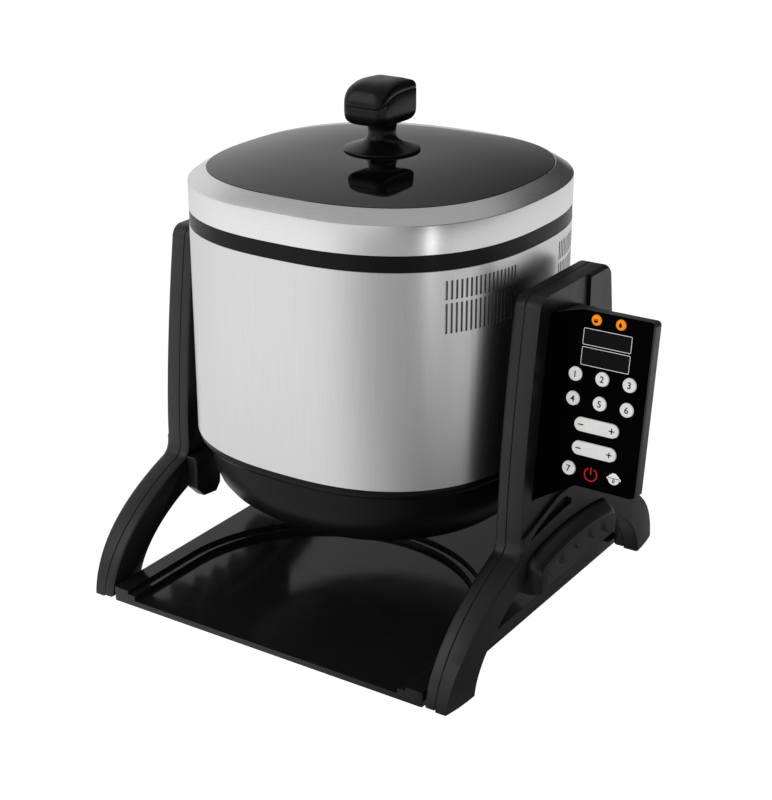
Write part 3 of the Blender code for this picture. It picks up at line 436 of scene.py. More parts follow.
def grip_top(clearance, drop=0):
    half = GRIP_HALF + clearance
    side = []
    for k in range(9):
        turn = math.radians(80 * k / 8)
        side.append((half - 0.010 + 0.010 * math.cos(turn), 0.0845 - drop + 0.010 * math.sin(turn)))
    for k in range(1, 12):
        y = 0.0625 * (1 - k / 12)
        side.append((y, GRIP_CROWN + clearance - drop - 1.4 * y * y))
    return side + [(0, GRIP_CROWN + clearance - drop)] + [(-y, z) for y, z in reversed(side)]


def opening_points(kind, low):
    arch = [(OPENING[0], low)] + arch_points(OPENING, 4, 90, 26)
    if kind == "grip":
        half = GRIP_HALF + GAP
        arch = [point for point in arch if point[0] > half + 0.002]
        crossing = OPENING[1] * (1 - (half / OPENING[0]) ** OPENING[2]) ** (1 / OPENING[2])
        arch += [(half, crossing)] + [(y, z) for y, z in grip_top(GAP) if y >= 0]
    return arch + [(-y, z) for y, z in reversed(arch) if y > 1e-9]


def stand_outline(kind, low, narrower):
    foot = 0.0835 - narrower + 0.009
    knee = math.degrees(math.acos((foot / REACH) ** (ARCH[2] / 2)))
    rear = [(REACH, low)] + arch_points(ARCH, 4, knee, 28)[:-1] + column_side(narrower)
    front = [(-y, z) for y, z in reversed(rear)]
    return rear + front + [(-y, z) for y, z in opening_points(kind, low)]


def stand_shell(label, side, outer):
    narrower = 0.0045 if side < 0 else 0
    outline = stand_outline("grip" if outer else "arch", 0.0011 if outer else 0.0025, narrower)
    if outer:
        layers = [(SEAM + GAP / 2, 0.0005), (SEAM + 0.0007, 0), (0.1945, 0), (0.1958, 0.0004)]
        layers += [(0.1967, 0.0009), (0.1979, 0.0018), (OUTER_FACE, 0.0026)]
        hollow = (SEAM - 0.001, 0.1905)
    else:
        layers = [(SEAM - GAP / 2, 0.0005), (SEAM - 0.0007, 0), (0.1732, 0), (0.1720, 0.0003)]
        layers += [(0.1711, 0.0009), (INNER_FACE, 0.0018)]
        hollow = (INNER_FACE + 0.0025, SEAM + 0.001)
    mesh = loft([[(side * x, y, z) for y, z in inset(outline, depth)] for x, depth in layers])
    mesh = carve(mesh, yz_prism(inset(outline, 0.0025), side * hollow[0], side * hollow[1]))
    node = ("stand_outer_" if outer else "stand_inner_") + label
    if outer:
        plan = [(0.170, -0.21), (0.170, 0.21)]
        for k in range(49):
            y = 0.21 - 0.42 * k / 48
            plan.append((OUTER_FACE - 0.0068 * (abs(y) / REACH) ** 6, y))
        mesh = carve(mesh, prism([(side * x, y) for x, y in plan], -0.01, 0.34), "INTERSECT")
        relief = [(-0.1000, 0.1110), (-0.0805, 0.1170), (-0.0580, 0.1236), (-0.0380, 0.1294)]
        relief += [(-0.0210, 0.1340), (0.0220, 0.1340), (0.0220, 0.3300), (-0.1000, 0.3300)]
        mesh = carve(mesh, yz_prism(relief, side * COLUMN_FACE, side * 0.2100))
        channel = [(-0.0720, 0.1100), (-0.0550, 0.1125), (-0.0330, 0.1150), (-0.0100, 0.1168)]
        channel += [(0.0030, 0.1172), (0.0030, 0.1215), (-0.0060, 0.1275), (-0.0150, 0.1285)]
        channel += [(-0.0240, 0.1275), (-0.0590, 0.1168)]
        mesh = carve(mesh, yz_prism(channel, side * 0.1935, side * 0.2100))
    else:
        hole = round_outline(0, TILT_HEIGHT, BUSH_RADIUS)
        mesh = carve(mesh, yz_prism(hole, side * 0.165, side * 0.180))
    for y in (-0.177, 0.177):
        low, high = sorted((side * 0.1755, side * 0.1875))
        mesh = carve(mesh, box((low + 0.0017, y - 0.0103, -0.001), (high - 0.0017, y + 0.0103, 0.0066)))
    if side > 0:
        mesh = carve(mesh, box((0.1733, 0.0580, 0.1347), (0.1937, 0.1000, 0.1623)))
    if not outer:
        for y in (-0.172, 0.172):
            hole = round_outline(y, SCREW_HEIGHT, SCREW_RADIUS, 16)
            mesh = carve(mesh, yz_prism(hole, side * 0.165, side * 0.174))
    piece(node + "_shell", mesh, SATIN, "base", "satin_black", (node,), angle=32)


# Each layer of a grip: how far out it is, how much lower and shorter, and how deep its finger grooves are.
GRIP_LAYERS = (
    (0.1860, 0, 0, 1.0),
    (0.1995, 0, 0, 1.0),
    (0.2022, 0.0007, 0.0002, 1.05),
    (0.2045, 0.0020, 0.0006, 1.15),
    (0.2068, 0.0036, 0.0012, 1.4),
    (0.2085, 0.0052, 0.0018, 1.7),
    (0.2100, 0.0070, 0.0027, 2.1),
    (0.2108, 0.0082, 0.0034, 2.4),
    (0.2110, 0.0090, 0.0040, 2.5),
)


def grip_ring(drop, shorter, depth, count=128):
    scale = (GRIP_HALF - shorter) / GRIP_HALF
    points = [(y * scale, z) for y, z in grip_top(0, drop)]
    for k in range(count + 1):
        y = (-GRIP_HALF + 2 * GRIP_HALF * k / count) * scale
        finger = math.sin(math.pi * y / FINGER_PITCH) ** 2 if abs(y) < 2 * FINGER_PITCH else 0
        points.append((y, 0.0745 - 2.5 * y * y + shorter * 0.4 + 0.0055 * depth * finger))
    return points


def build_stands():
    for label, side in (("left", -1), ("right", 1)):
        stand_shell(label, side, False)
        stand_shell(label, side, True)
        rings = []
        for x, drop, shorter, depth in GRIP_LAYERS:
            rings.append([(side * x, y, z) for y, z in grip_ring(drop, shorter, depth)])
        node = "grip_" + label
        piece(node + "_moulding", loft(rings), SATIN, "base", "satin_black", (node,), angle=40)


# Tray


def landing(half, count=72):
    points = [(-half, -0.25), (half, -0.25)]
    for k in range(count + 1):
        turn = math.pi * k / count
        points.append((half * math.cos(turn), -0.105 + half * math.sin(turn)))
    return points


def build_tray():
    half_x, half_y = (TRAY_HIGH.x - TRAY_LOW.x) / 2, (TRAY_HIGH.y - TRAY_LOW.y) / 2
    outline = rounded_box((-half_x, -half_y), (half_x, half_y), 0.002, 4)
    deck = TRAY_HIGH.z
    mesh = prism(outline, TRAY_LOW.z, deck)
    mesh = carve(mesh, prism(landing(0.144), 0.0065, 0.03))
    mesh = carve(mesh, prism(landing(0.152), 0.0115, 0.03))
    mesh = carve(mesh, box((-0.164, 0.060, -0.01), (0.164, 0.192, deck - 0.003)))
    for side in (-1, 1):
        for y in (-0.172, 0.172):
            hole = round_outline(y, SCREW_HEIGHT, SCREW_RADIUS, 16)
            mesh = carve(mesh, yz_prism(hole, side * 0.158, side * 0.175))
    piece("tray_moulding", mesh, TRAY, "base", "gloss_black", ("base_tray",), bevel=0.0007, angle=40)


# Drum


def tube(profile, corner=2.5, count=192):
    return loft([squircle(half, height, corner, count) for half, height in profile], joined=True)


def slot_bars():
    bars = []
    first, last, count = math.radians(-38.9), math.radians(-13.9), 17
    for k in range(count):
        turn = first + (last - first) * k / (count - 1)
        c, s = math.cos(turn), math.sin(turn)
        reach = 0.160 * (abs(c) ** 2.5 + abs(s) ** 2.5) ** (-1 / 2.5)
        x, y = reach * c, reach * s
        normal = math.atan2(math.copysign(abs(y) ** 1.5, y), math.copysign(abs(x) ** 1.5, x))
        for low, high in ((0.2966, 0.3228), (0.3257, 0.3421)):
            outline = rounded_box((-0.00105, low), (0.00105, high), 0.0007, 3)
            bar = yz_prism(outline, -0.005, 0.005)
            bar.transform(Matrix.Translation((x, y, 0)) @ Matrix.Rotation(normal, 4, "Z"))
            bars.append(bar)
    return bars


def build_drum():
    half, thick = 0.160, 0.0012
    low, high = JACKET_LOW.z, JACKET_HIGH.z
    profile = [(half - GAP, low), (half, low + GAP), (half, high - GAP), (half - GAP, high)]
    profile += [(half - thick, high), (half - thick, low)]
    jacket = tube(profile)
    bars = slot_bars()
    mirrored = slot_bars()
    for bar in mirrored:
        bar.transform(Matrix.Diagonal((1, -1, 1, 1)))
        bar.flip_normals()
    jacket = carve(jacket, joined(bars + mirrored))
    for side in (-1, 1):
        hole = round_outline(0, TILT_HEIGHT, TRUNNION_HOLE, 40)
        jacket = carve(jacket, yz_prism(hole, side * 0.150, side * 0.170))
    piece("jacket_sheet", jacket, STEEL, "drum", "brushed_steel", ("steel_jacket",), angle=35)
    liner = [(0.1576, 0.2900), (0.1582, 0.2900), (0.1582, 0.3480), (0.1576, 0.3480)]
    piece("vent_liner", tube(liner), MESH_STEEL, "drum", "brushed_steel")
    half = 0.1598
    band = [(half, 0.3511), (half, 0.3645), (0.1440, 0.3645), (0.1440, 0.3605), (0.1560, 0.3585)]
    band += [(0.1560, 0.3511)]
    piece("rim_band_moulding", tube(band), BOWL, "drum", "satin_black", ("rim_band",), angle=35)
    build_bowl()


def bowl_half(z):
    depth = (0.149 - z) / (0.149 - 0.070)
    return 0.150 * max(0.0, 1 - depth ** 4.2) ** (1 / 1.8)


def build_bowl():
    rings = []
    for half, z in ((0.1582, 0.1574), (0.1585, 0.1571), (0.1588, 0.1545), (0.1588, 0.1537), (0.1573, 0.1493),
                    (0.1570, 0.1490), (0.1512, 0.1485)):
        rings.append(squircle(half, z))
    heights = [0.140, 0.130, 0.120, 0.110, 0.102, 0.095, 0.089, 0.084, 0.080, 0.077, 0.0745, 0.0725, 0.0710]
    for z in heights:
        rings.append(squircle(bowl_half(z), z, 2.5 - 0.4 * (0.149 - z) / 0.079))
    rings.append(squircle(0.030, 0.070, 2.1))
    rings.append(squircle(0.030, 0.073, 2.1))
    for z in (0.0785, 0.084, 0.090, 0.100, 0.110, 0.130, 0.149):
        rings.append(squircle(bowl_half(z) - 0.0032, z, 2.5 - 0.4 * (0.149 - z) / 0.079))
    rings.append(squircle(0.1500, 0.1574))
    mesh = loft(rings, joined=True)
    disc = prism(round_outline(0, 0, 0.0312), 0.0695, 0.0735)
    mesh = carve(mesh, disc, "UNION")
    for k in range(5):
        x = -0.014 + 0.007 * k
        mesh = carve(mesh, box((x - 0.0012, -0.018, 0.06), (x + 0.0012, 0.018, 0.08)))
    piece("bowl_moulding", mesh, BOWL, "drum", "satin_black", ("bottom_bowl",), angle=35)


# Lid and knob


def build_lid():
    half, shoulder, top = 0.160, 0.3892, 0.400
    low = RING_LOW.z
    ring = [(half - 0.0003, low), (half, low + 0.0003), (half, shoulder - 0.0003)]
    ring += [(half - 0.0002, shoulder + 0.0004), (0.1591, shoulder + 0.0012), (0.1452, top - 0.0006)]
    ring += [(0.1447, top - 0.0003), (0.1442, top - 0.0005), (0.1442, top - 0.0046)]
    ring += [(0.1365, top - 0.0046), (0.1365, 0.3850), (0.1500, 0.3800), (0.1500, low)]
    piece("lid_rim", tube(ring), LID_METAL, "lid", "lid_metal", ("lid_ring",), angle=25)
    rings = []
    for level, order in ((top - 0.0043, -1), (top, 1)):
        layer = []
        for k in range(15):
            part = k / 14
            reach = 0.1439 + (0.0365 - 0.1439) * part
            corner = 2 + 0.5 * (1 - part)
            layer.append(squircle(reach, level + 0.0105 * (1 - (1 - part) ** 2), corner))
        rings += list(reversed(layer)) if order < 0 else layer
    edge = rings[15]
    rings[15] = [(x * 0.9975, y * 0.9975, z) for x, y, z in edge]
    rings.insert(15, [(x, y, z - 0.0004) for x, y, z in edge])
    glass = loft(rings)
    glass = carve(glass, prism(round_outline(0, 0, 0.0028, 24), 0.38, 0.43))
    piece("lid_pane", glass, GLASS, "lid", "dark_glass", ("lid_glass",), angle=35)
    build_knob(top + 0.0105)


def knob_ring(half, front, back, height, rise=0.0, power=4, fall=0.0):
    points = []
    for side, end, radius, start in ((1, front, 0.0085, -90), (1, back, 0.003, 0), (-1, back, 0.003, 90),
                                     (-1, front, 0.0085, 180)):
        radius = min(radius, half * 0.5)
        way = 1 if end == front else -1
        for k in range(9):
            turn = math.radians(start + 90 * k / 8)
            points.append((side * (half - radius) + radius * math.cos(turn), end + way * radius
                           + radius * math.sin(turn)))
    # Extra points along the straight sides let the heights curve smoothly.
    full = []
    for (x0, y0), (x1, y1) in zip(points, points[1:] + points[:1]):
        full.append((x0, y0))
        if math.hypot(x1 - x0, y1 - y0) > 0.004:
            full += [(x0 + (x1 - x0) * j / 12, y0 + (y1 - y0) * j / 12) for j in range(1, 12)]
    made = []
    for x, y in full:
        part = min(1, max(0, (y - front) / (back - front)))
        made.append((x, y, height + rise * (1 - (1 - part) ** power) - fall * part ** 3))
    return made


def build_knob(base):
    stem = [(0, 0.4400), (0.0175, 0.4400), (0.0155, 0.4372), (0.0140, 0.4350), (0.0131, 0.4330),
            (0.0126, 0.4305), (0.0125, 0.4282), (0.0127, 0.4255), (0.0134, 0.4225), (0.0145, 0.4206),
            (0.0162, 0.4190),
            (0.0190, 0.4175), (0.0225, 0.4162), (0.0260, 0.4150), (0.0295, 0.4138), (0.0320, 0.4130),
            (0.0335, 0.4123), (0.0340, base + 0.0009), (0.0339, base + 0.0005), (0.0335, base + GAP),
            (0.0022, base + GAP), (0.0022, 0.4200), (0, 0.4200)]
    head = [knob_ring(0.0150, -0.0210, 0.0150, 0.4350), knob_ring(0.0172, -0.0255, 0.0182, 0.4358)]
    head += [knob_ring(0.0188, -0.0285, 0.0205, 0.4370), knob_ring(0.0200, -0.0306, 0.0222, 0.4387)]
    head += [knob_ring(0.0209, -0.0321, 0.0233, 0.4410), knob_ring(0.0214, -0.0328, 0.0239, 0.4438)]
    head += [knob_ring(0.0215, -0.0330, 0.0240, 0.4465), knob_ring(0.0215, -0.0330, 0.0240, 0.4512, 0.0112)]
    head += [knob_ring(0.0211, -0.0326, 0.0236, 0.4520, 0.0112)]
    head += [knob_ring(0.0190, -0.0305, 0.0215, 0.4520, 0.0112)]
    head += [knob_ring(0.0190, -0.0305, 0.0215, 0.4495)]
    body = carve(turned(stem, steps=72), loft(head), "UNION")
    piece("knob_moulding", body, KNOB, "lid", "satin_black", ("knob_body",), angle=35)
    cap = [knob_ring(0.0187, -0.0302, 0.0212, 0.4498), knob_ring(0.0187, -0.0302, 0.0212, 0.4523, 0.0112)]
    cap += [knob_ring(0.0211, -0.0326, 0.0236, 0.4523, 0.0112)]
    cap += [knob_ring(0.0215, -0.0330, 0.0240, 0.4530, 0.0112)]
    cap += [knob_ring(0.0212, -0.0328, 0.0240, 0.4550, 0.0114, 4.5, 0.0005)]
    cap += [knob_ring(0.0206, -0.0324, 0.0238, 0.4570, 0.0115, 5, 0.0010)]
    cap += [knob_ring(0.0199, -0.0317, 0.0235, 0.4592, 0.0109, 5, 0.0015)]
    cap += [knob_ring(0.0190, -0.0308, 0.0230, 0.4610, 0.0103, 5, 0.0020)]
    cap += [knob_ring(0.0178, -0.0295, 0.0220, 0.4638, 0.0084, 4.5, 0.0022)]
    cap += [knob_ring(0.0160, -0.0275, 0.0205, 0.4665, 0.0062, 4, 0.0022)]
    cap += [knob_ring(0.0130, -0.0228, 0.0165, 0.4700, 0.0032, 3, 0.0012)]
    cap += [knob_ring(0.0090, -0.0160, 0.0115, 0.4722, 0.0009, 2, 0.0003)]
    cap += [knob_ring(0.0045, -0.0080, 0.0050, 0.4729)]
    piece("knob_inlay", loft(cap), KNOB, "lid", "gloss_black", ("knob_cap",), angle=50)


# Control wing

PANEL_RIGHT = 0.2825
TIP = 0.284
TOP = 0.0935
BOTTOM = -0.0565
ROOT_BOTTOM = -0.0760
KEYS_X = 0.2434


def upright_ring(outer, inner, depth):
    """A thin flat frame between two outlines, in X and height, just in front of the panel."""

    def fill(data):
        loops = []
        for y in (depth, depth - 0.00006):
            loops.append([data.verts.new((u, y, v)) for u, v in outer])
            loops.append([data.verts.new((u, y, v)) for u, v in inner])
        back_out, back_in, front_out, front_in = loops
        count = len(outer)
        for i in range(count):
            j = (i + 1) % count
            data.faces.new((front_out[i], front_out[j], front_in[j], front_in[i]))
            data.faces.new((back_out[j], back_out[i], back_in[i], back_in[j]))
            data.faces.new((back_out[i], back_out[j], front_out[j], front_out[i]))
            data.faces.new((front_in[i], front_in[j], back_in[j], back_in[i]))
        bmesh.ops.recalc_face_normals(data, faces=data.faces)

    return mesh_of(fill)


def window_mesh(left, right, low, high):
    return xz_prism(rounded_box((left, low), (right, high), 0.0008, 4), 0.0002, 0.0026)


def pill(x, z, length, radius, steps=16):
    points = []
    for centre, start in ((length / 2 - radius, -90), (-(length / 2 - radius), 90)):
        for k in range(steps + 1):
            turn = math.radians(start + 180 * k / steps)
            points.append((x + centre + radius * math.cos(turn), z + radius * math.sin(turn)))
    return points


def label(name, text, x, z, size, depth, look, body, slot):
    """A printed figure or sign, as a very thin raised mesh on the panel."""
    curve = bpy.data.curves.new(name, "FONT")
    curve.body = text
    curve.size = size
    curve.align_x = "CENTER"
    curve.align_y = "CENTER"
    curve.extrude = 0.00003
    curve.offset = size * 0.012
    guide = linked(name, curve)
    graph = bpy.context.evaluated_depsgraph_get()
    mesh = bpy.data.meshes.new_from_object(guide.evaluated_get(graph))
    bpy.data.objects.remove(guide, do_unlink=True)
    xs = [v.co.x for v in mesh.vertices]
    ys = [v.co.y for v in mesh.vertices]
    middle = ((min(xs) + max(xs)) / 2, (min(ys) + max(ys)) / 2)
    mesh.transform(Matrix.Translation((-middle[0], -middle[1], 0)))
    mesh.transform(Matrix.Rotation(math.pi / 2, 4, "X"))
    mesh.transform(Matrix.Translation((x, depth, z)))
    return piece(name, mesh, look, body, slot, place=PANEL)


def flat_mark(name, outlines, depth, look, body, slot):
    """A printed mark made of filled outlines, in X and height."""
    mesh = joined([xz_prism(points, depth - 0.00004, depth + 0.00004) for points in outlines])
    return piece(name, mesh, look, body, slot, place=PANEL)


def build_wing():
    start = COLUMN_FACE + GAP
    back = 0.0033
    outline = []
    for k in range(25):
        turn = math.radians(180 - 90 * k / 24)
        outline.append((start + 0.011 + 0.011 * math.cos(turn), -0.011 + 0.011 * math.sin(turn)))
    outline += [(PANEL_RIGHT, 0), (PANEL_RIGHT, 0.003), (0.2075, 0.003), (start, -0.0035)]
    steps = ((0.0042, 0), (0.0034, 0.0002), (0.0028, 0.0005), (0.0018, 0.0012), (0.0008, 0.0022),
             (-0.001, 0.0042))
    shape = [(0.1800, ROOT_BOTTOM - 0.0095), (0.2290, BOTTOM)]
    shape += [(TIP - left, BOTTOM + up) for left, up in steps]
    shape += [(TIP - left, TOP - down) for left, down in reversed(steps)]
    shape += [(0.2190, TOP), (0.1800, TOP - 0.0099)]
    crop = xz_prism(shape, -0.06, 0.06)
    low, high = ROOT_BOTTOM - 0.005, TOP + 0.004
    face = carve(prism(outline, low, high), crop.copy(), "INTERSECT")
    left, right = KEYS_X - 0.0208, KEYS_X + 0.0222
    holes = []
    for a, b in ((0.0655, 0.0789), (0.0482, 0.0630)):
        window = rounded_box((left - GAP, a - GAP), (right + GAP, b + GAP), 0.001, 4)
        holes.append(xz_prism(window, -0.01, 0.01))
    for x in (KEYS_X - 0.0108, KEYS_X + 0.0112):
        holes.append(xz_prism(round_outline(x, 0.0871, 0.0048), -0.01, 0.01))
    for x, z, radius in KEY_PLACES.values():
        holes.append(xz_prism(round_outline(x, z, radius + GAP), -0.01, 0.01))
    for z in (-0.0025, -0.0231):
        holes.append(xz_prism(pill(KEYS_X - 0.0005, z, 0.0412, 0.0063), -0.01, 0.01))
    face = carve(face, joined(holes))
    piece("wing_face", face, PANEL_BLACK, "base", "gloss_black", ("panel_face",), place=PANEL, bevel=0.0003,
          angle=35)
    depth = 0.0155
    outline = [(start, -0.0030), (0.2074, back), (PANEL_RIGHT + GAP, back), (PANEL_RIGHT + GAP, 0.0012)]
    outline += [(TIP, 0.0025), (TIP, depth - 0.002), (TIP - 0.0006, depth - 0.0006), (TIP - 0.002, depth)]
    outline += [(0.232, depth), (0.226, depth + 0.0012), (0.222, depth + 0.003), (0.217, depth + 0.0062)]
    outline += [(0.212, depth + 0.010), (0.208, depth + 0.0145), (0.204, depth + 0.020)]
    outline += [(start, depth + 0.030)]
    housing = carve(prism(outline, low, high), crop, "INTERSECT")
    hollow = [(0.2020, 0.0005), (0.2078, back - 0.001), (PANEL_RIGHT - 0.003, back - 0.001)]
    hollow += [(PANEL_RIGHT - 0.003, depth - 0.0025), (0.230, depth - 0.0025), (0.2020, depth + 0.004)]
    housing = carve(housing, prism(hollow, BOTTOM + 0.0025, TOP - 0.0075))
    piece("wing_housing", housing, SLAB, "base", "satin_black", ("panel_housing",), place=PANEL, bevel=0.0004,
          angle=40)
    for name, a, b in (("display_upper", 0.0655, 0.0789), ("display_lower", 0.0482, 0.0630)):
        piece(name + "_pane", window_mesh(left, right, a, b), WINDOW, "base", "display_window", (name,),
              place=PANEL, bevel=0.00025)
        outer = rounded_box((left - 0.0004, a - 0.0004), (right + 0.0004, b + 0.0004), 0.0011, 4)
        inner = rounded_box((left + 0.00005, a + 0.00005), (right - 0.00005, b - 0.00005), 0.0008, 4)
        frame_line = upright_ring(outer, inner, -0.00002)
        piece(name + "_outline", frame_line, PRINT, "base", "white_key", place=PANEL)
    for name, x in (("lamp_left", KEYS_X - 0.0108), ("lamp_right", KEYS_X + 0.0112)):
        dome = [(0, 0.0010), (0.0020, 0.00095), (0.0034, 0.0007), (0.0042, 0.0003), (0.0045, -0.0002),
                (0.0045, -0.0026), (0, -0.0026)]
        piece(name + "_lens", turned(dome, "Y", (x, 0.0871), 48), ORANGE, "base", "orange_lens", (name,),
              place=PANEL, angle=50)


KEY_PLACES = {}
for row, height in enumerate((0.0391, 0.0180)):
    for column in range(3):
        KEY_PLACES["key_" + str(1 + 3 * row + column)] = (KEYS_X + (column - 1) * 0.02465, height, 0.006)
KEY_PLACES["key_7"] = (KEYS_X - 0.0218, -0.0425, 0.006)
KEY_PLACES["key_power"] = (KEYS_X - 0.0008, -0.0435, 0.0068)
KEY_PLACES["key_8"] = (KEYS_X + 0.0204, -0.0428, 0.0068)


def arc_band(x, z, inner, outer, start, stop, count=40):
    points = []
    for radius, order in ((outer, range(count + 1)), (inner, reversed(range(count + 1)))):
        for k in order:
            turn = math.radians(start + (stop - start) * k / count)
            points.append((x + radius * math.cos(turn), z + radius * math.sin(turn)))
    return points


def build_keys():
    for name, (x, z, radius) in KEY_PLACES.items():
        dark = name in ("key_8", "key_power")
        proud = 0.0012
        profile = [(0, proud - 0.0002), (radius * 0.55, proud - 0.00017), (radius - 0.0009, proud - 0.00002)]
        profile += [(radius - 0.0006, proud), (radius - 0.0003, proud - 0.0001)]
        profile += [(radius - 0.00008, proud - 0.00035)]
        profile += [(radius, proud - 0.0007), (radius, -0.0034), (radius + 0.0014, -0.0036)]
        profile += [(radius + 0.0014, -0.0048), (0, -0.0048)]
        piece(name + "_cap", turned(profile, "Y", (x, z), 56), PANEL_BLACK if dark else WHITE, name,
              "gloss_black" if dark else "white_key", (name,), place=PANEL, angle=50)
        if not dark:
            label(name + "_digit", name[-1], x, z, 0.0078, -proud - 0.00002, INK, name, "satin_black")
    front = -0.00124
    x, z = KEY_PLACES["key_power"][:2]
    stem = rounded_box((x - 0.0006, z - 0.0002), (x + 0.0006, z + 0.0063), 0.0005, 4)
    marks = [arc_band(x, z, 0.0050, 0.0062, 118, 422), stem]
    flat_mark("power_sign", marks, front, RED, "key_power", "orange_lens")
    x, z = KEY_PLACES["key_8"][:2]
    bowl = arc_band(x, z + 0.0006, 0, 0.0052, 180, 360)[:41]
    cover = [(u, z + 0.0012 + 0.75 * (v - z)) for u, v in arc_band(x, z, 0, 0.0050, 0, 180)[:41]]
    handles = [arc_band(x - 0.0053, z + 0.0006, 0.0003, 0.0012, 60, 300, 16),
               arc_band(x + 0.0053, z + 0.0006, 0.0003, 0.0012, -120, 120, 16)]
    top = rounded_box((x - 0.0022, z + 0.0040), (x + 0.0022, z + 0.0054), 0.0006, 3)
    flat_mark("pot_sign", [bowl, cover, top] + handles, front, PRINT, "key_8", "white_key")
    label("key_8_digit", "8", x, z - 0.0014, 0.0050, front - 0.00008, INK, "key_8", "satin_black")
    for name, z in (("rocker_heat", -0.0025), ("rocker_time", -0.0231)):
        x = KEYS_X - 0.0005
        layers = [(-0.0012, 0.00055), (-0.00112, 0.00028), (-0.0009, 0.00008), (-0.0006, 0), (0.0034, 0)]
        rings = []
        for y, less in layers:
            rings.append([(u, y, v) for u, v in pill(x, z, 0.0404 - 2 * less, 0.006 - less)])
        mesh = loft(rings)
        for low, high, length, radius in ((0.0030, 0.0045, 0.0364, 0.005), (0.0042, 0.0048, 0.0424, 0.007)):
            mesh = carve(mesh, xz_prism(pill(x, z, length, radius), low, high), "UNION")
        piece(name + "_cap", mesh, WHITE, name, "white_key", (name,), place=PANEL, angle=50)
        bar = 0.0025
        minus = rounded_box((x - 0.0142 - bar, z - 0.0005), (x - 0.0142 + bar, z + 0.0005), 0.0003, 3)
        flat = rounded_box((x + 0.0142 - bar, z - 0.0005), (x + 0.0142 + bar, z + 0.0005), 0.0003, 3)
        tall = rounded_box((x + 0.0142 - 0.0005, z - bar), (x + 0.0142 + 0.0005, z + bar), 0.0003, 3)
        flat_mark(name + "_minus", [minus], -0.00126, INK, name, "satin_black")
        flat_mark(name + "_plus_bar", [flat], -0.00126, INK, name, "satin_black")
        flat_mark(name + "_plus_stem", [tall], -0.00128, INK, name, "satin_black")
    for name, x in (("lamp_left", KEYS_X - 0.0108), ("lamp_right", KEYS_X + 0.0112)):
        z = 0.0871
        if name == "lamp_left":
            shape = [(x + 0.0021 * math.cos(math.radians(a)), z + 0.0001 + 0.0022 * math.sin(math.radians(a)))
                     for a in range(180, 361, 12)]
            shapes = [shape, rounded_box((x - 0.0024, z + 0.0006), (x + 0.0024, z + 0.0011), 0.0002, 3)]
        else:
            drop = [(-0.0011, 0.0007), (-0.0016, -0.0006), (-0.0010, -0.0018)]
            left = [(x + u, z + v) for u, v in drop]
            right = [(x - u, z + v) for u, v in reversed(drop)]
            shapes = [[(x, z + 0.0026)] + left + [(x, z - 0.0021)] + right]
        flat_mark(name + "_sign", shapes, -0.00104, INK, "base", "satin_black")


# Cable hood, and the looks of the nodes that carry over


def build_fittings():
    outline = [(-0.083, 0.104), (-0.083, 0.072), (-0.071, 0.060), (-0.053, 0.058), (-0.046, 0.066)]
    outline += [(-0.044, 0.104)]
    rings = []
    for x, depth in ((-0.1704, 0), (-0.1615, 0), (-0.1597, 0.0006), (-0.1585, 0.003)):
        rings.append([(x, y, z) for y, z in inset(outline, depth)])
    piece("cable_hood", loft(rings), SATIN, "base", "satin_black", ("cable_cover",), bevel=0.0012, angle=28,
          segments=3)


def dress_frame():
    """Every CAD node that stays shows its slot's material."""
    for entry in frame["record"]["subparts"]:
        node = NODES[entry["node"]]
        look = LOOKS[entry["material_slot"]]
        node.data.materials.clear()
        node.data.materials.append(look)


# Studio


def soft_light(name, place, aim, size, power):
    data = bpy.data.lights.new(name, "AREA")
    data.shape = "RECTANGLE"
    data.size, data.size_y = size
    data.energy = power
    made = linked(name, data)
    made.location = place
    made.rotation_euler = (Vector(aim) - Vector(place)).to_track_quat("-Z", "Y").to_euler()
    return made


def sideways(tree, vector, axis):
    """How far a direction points along an axis."""
    node = tree.nodes.new("ShaderNodeVectorMath")
    node.operation = "DOT_PRODUCT"
    node.inputs[1].default_value = axis
    tree.links.new(vector, node.inputs[0])
    return node.outputs["Value"]


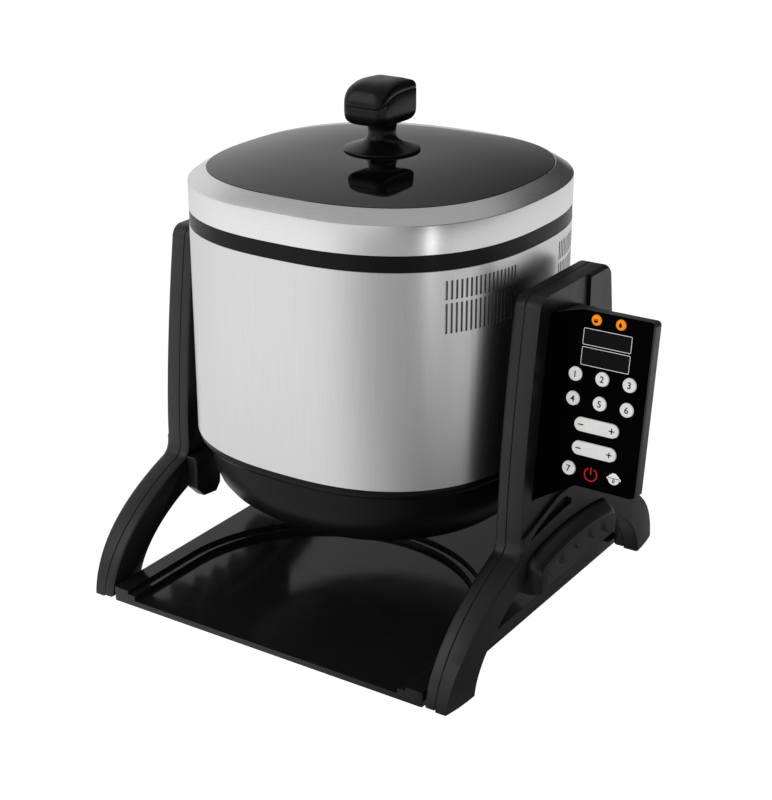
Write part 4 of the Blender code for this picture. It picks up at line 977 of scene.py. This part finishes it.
def build_studio():
    scene = bpy.context.scene
    world = bpy.data.worlds.new("studio")
    world.use_nodes = True
    tree = world.node_tree
    tree.nodes.clear()
    where = tree.nodes.new("ShaderNodeTexCoord")
    lit_side = sideways(tree, where.outputs["Generated"], (-0.837, -0.547, 0))
    height = sideways(tree, where.outputs["Generated"], (0, 0, 1))
    fade = tree.nodes.new("ShaderNodeMix")
    tree.links.new(remap(tree, height, 0, 1, 0.50, 0.72), fade.inputs["Factor"])
    tree.links.new(remap(tree, lit_side, 0.06, 0.95, -0.3, 0.3), fade.inputs["A"])
    fade.inputs["B"].default_value = 0.50
    rays = tree.nodes.new("ShaderNodeLightPath")
    lit = tree.nodes.new("ShaderNodeBackground")
    tree.links.new(fade.outputs["Result"], lit.inputs["Strength"])
    seen = tree.nodes.new("ShaderNodeBackground")
    seen.inputs["Color"].default_value = (1, 1, 1, 1)
    seen.inputs["Strength"].default_value = 1.05
    mix = tree.nodes.new("ShaderNodeMixShader")
    tree.links.new(rays.outputs["Is Camera Ray"], mix.inputs[0])
    tree.links.new(lit.outputs[0], mix.inputs[1])
    tree.links.new(seen.outputs[0], mix.inputs[2])
    out = tree.nodes.new("ShaderNodeOutputWorld")
    tree.links.new(mix.outputs[0], out.inputs["Surface"])
    scene.world = world
    sheet = mesh_of(lambda data: bmesh.ops.create_grid(data, x_segments=1, y_segments=1, size=8))
    floor = linked("floor", sheet)
    floor.location = (0, 0, -0.0002)
    made, tree, shader = shader_of("floor")
    shader.inputs["Base Color"].default_value = (0, 0, 0, 1)
    shader.inputs["Roughness"].default_value = 0.9
    shader.inputs["Specular IOR Level"].default_value = 0.0
    shader.inputs["Emission Color"].default_value = (1, 1, 1, 1)
    # For every ray but the camera's the floor glows with painted light: a little brighter towards the
    # front-left, dimmer towards the camera side far out, and darker close to the object on its right as a
    # painted shadow.
    where = tree.nodes.new("ShaderNodeNewGeometry")
    flat = tree.nodes.new("ShaderNodeVectorMath")
    flat.operation = "NORMALIZE"
    tree.links.new(where.outputs["Position"], flat.inputs[0])
    broad = remap(tree, sideways(tree, flat.outputs[0], (-0.45, -0.89, 0)), 0.78, 0.98, 0.1, 0.9)
    painted_dim_camera_side = remap(tree, sideways(tree, flat.outputs[0], (0.57, -0.82, 0)), 1.0, 0.46, 0.66, 0.95)
    painted_shadow_near = remap(tree, sideways(tree, flat.outputs[0], (1, 0, 0)), 0.85, 0.16, -0.1, 0.75)
    length = tree.nodes.new("ShaderNodeVectorMath")
    length.operation = "LENGTH"
    tree.links.new(where.outputs["Position"], length.inputs[0])
    far = tree.nodes.new("ShaderNodeMath")
    far.operation = "MULTIPLY"
    tree.links.new(broad, far.inputs[0])
    tree.links.new(painted_dim_camera_side, far.inputs[1])
    zone = tree.nodes.new("ShaderNodeMix")
    tree.links.new(remap(tree, length.outputs["Value"], 0, 1, 0.45, 0.80), zone.inputs["Factor"])
    tree.links.new(painted_shadow_near, zone.inputs["A"])
    tree.links.new(far.outputs[0], zone.inputs["B"])
    painted_floor_light = zone.outputs["Result"]
    seen = tree.nodes.new("ShaderNodeLightPath")
    pick = tree.nodes.new("ShaderNodeMix")
    tree.links.new(seen.outputs["Is Camera Ray"], pick.inputs["Factor"])
    tree.links.new(painted_floor_light, pick.inputs["A"])
    pick.inputs["B"].default_value = 1.05
    tree.links.new(pick.outputs["Result"], shader.inputs["Emission Strength"])
    floor.data.materials.append(made)
    soft_light("key", (-1.1, -1.3, 1.5), (-0.05, 0, 0.25), (1.2, 1.2), 5)
    soft_light("strip", (1.05, -0.62, 0.10), (0.1, -0.1, 0.25), (0.10, 0.6), 0.6)
    scene.view_settings.view_transform = "Standard"


CAMERA_PLACE = (0.76782, -1.22225, 0.76935)
CAMERA_DOWN = math.radians(22.204)
CAMERA_ROUND = math.radians(33.213)
CAMERA_LENS = 76.28


def build_camera():
    data = bpy.data.cameras.new("camera")
    data.lens = CAMERA_LENS
    data.sensor_width = 36
    data.clip_end = 50
    made = linked("camera", data)
    made.location = CAMERA_PLACE
    made.rotation_euler = (math.pi / 2 - CAMERA_DOWN, 0, CAMERA_ROUND)
    bpy.context.scene.camera = made


dress_frame()
build_studio()
build_camera()
build_stands()
build_tray()
build_drum()
build_lid()
build_wing()
build_keys()
build_fittings()
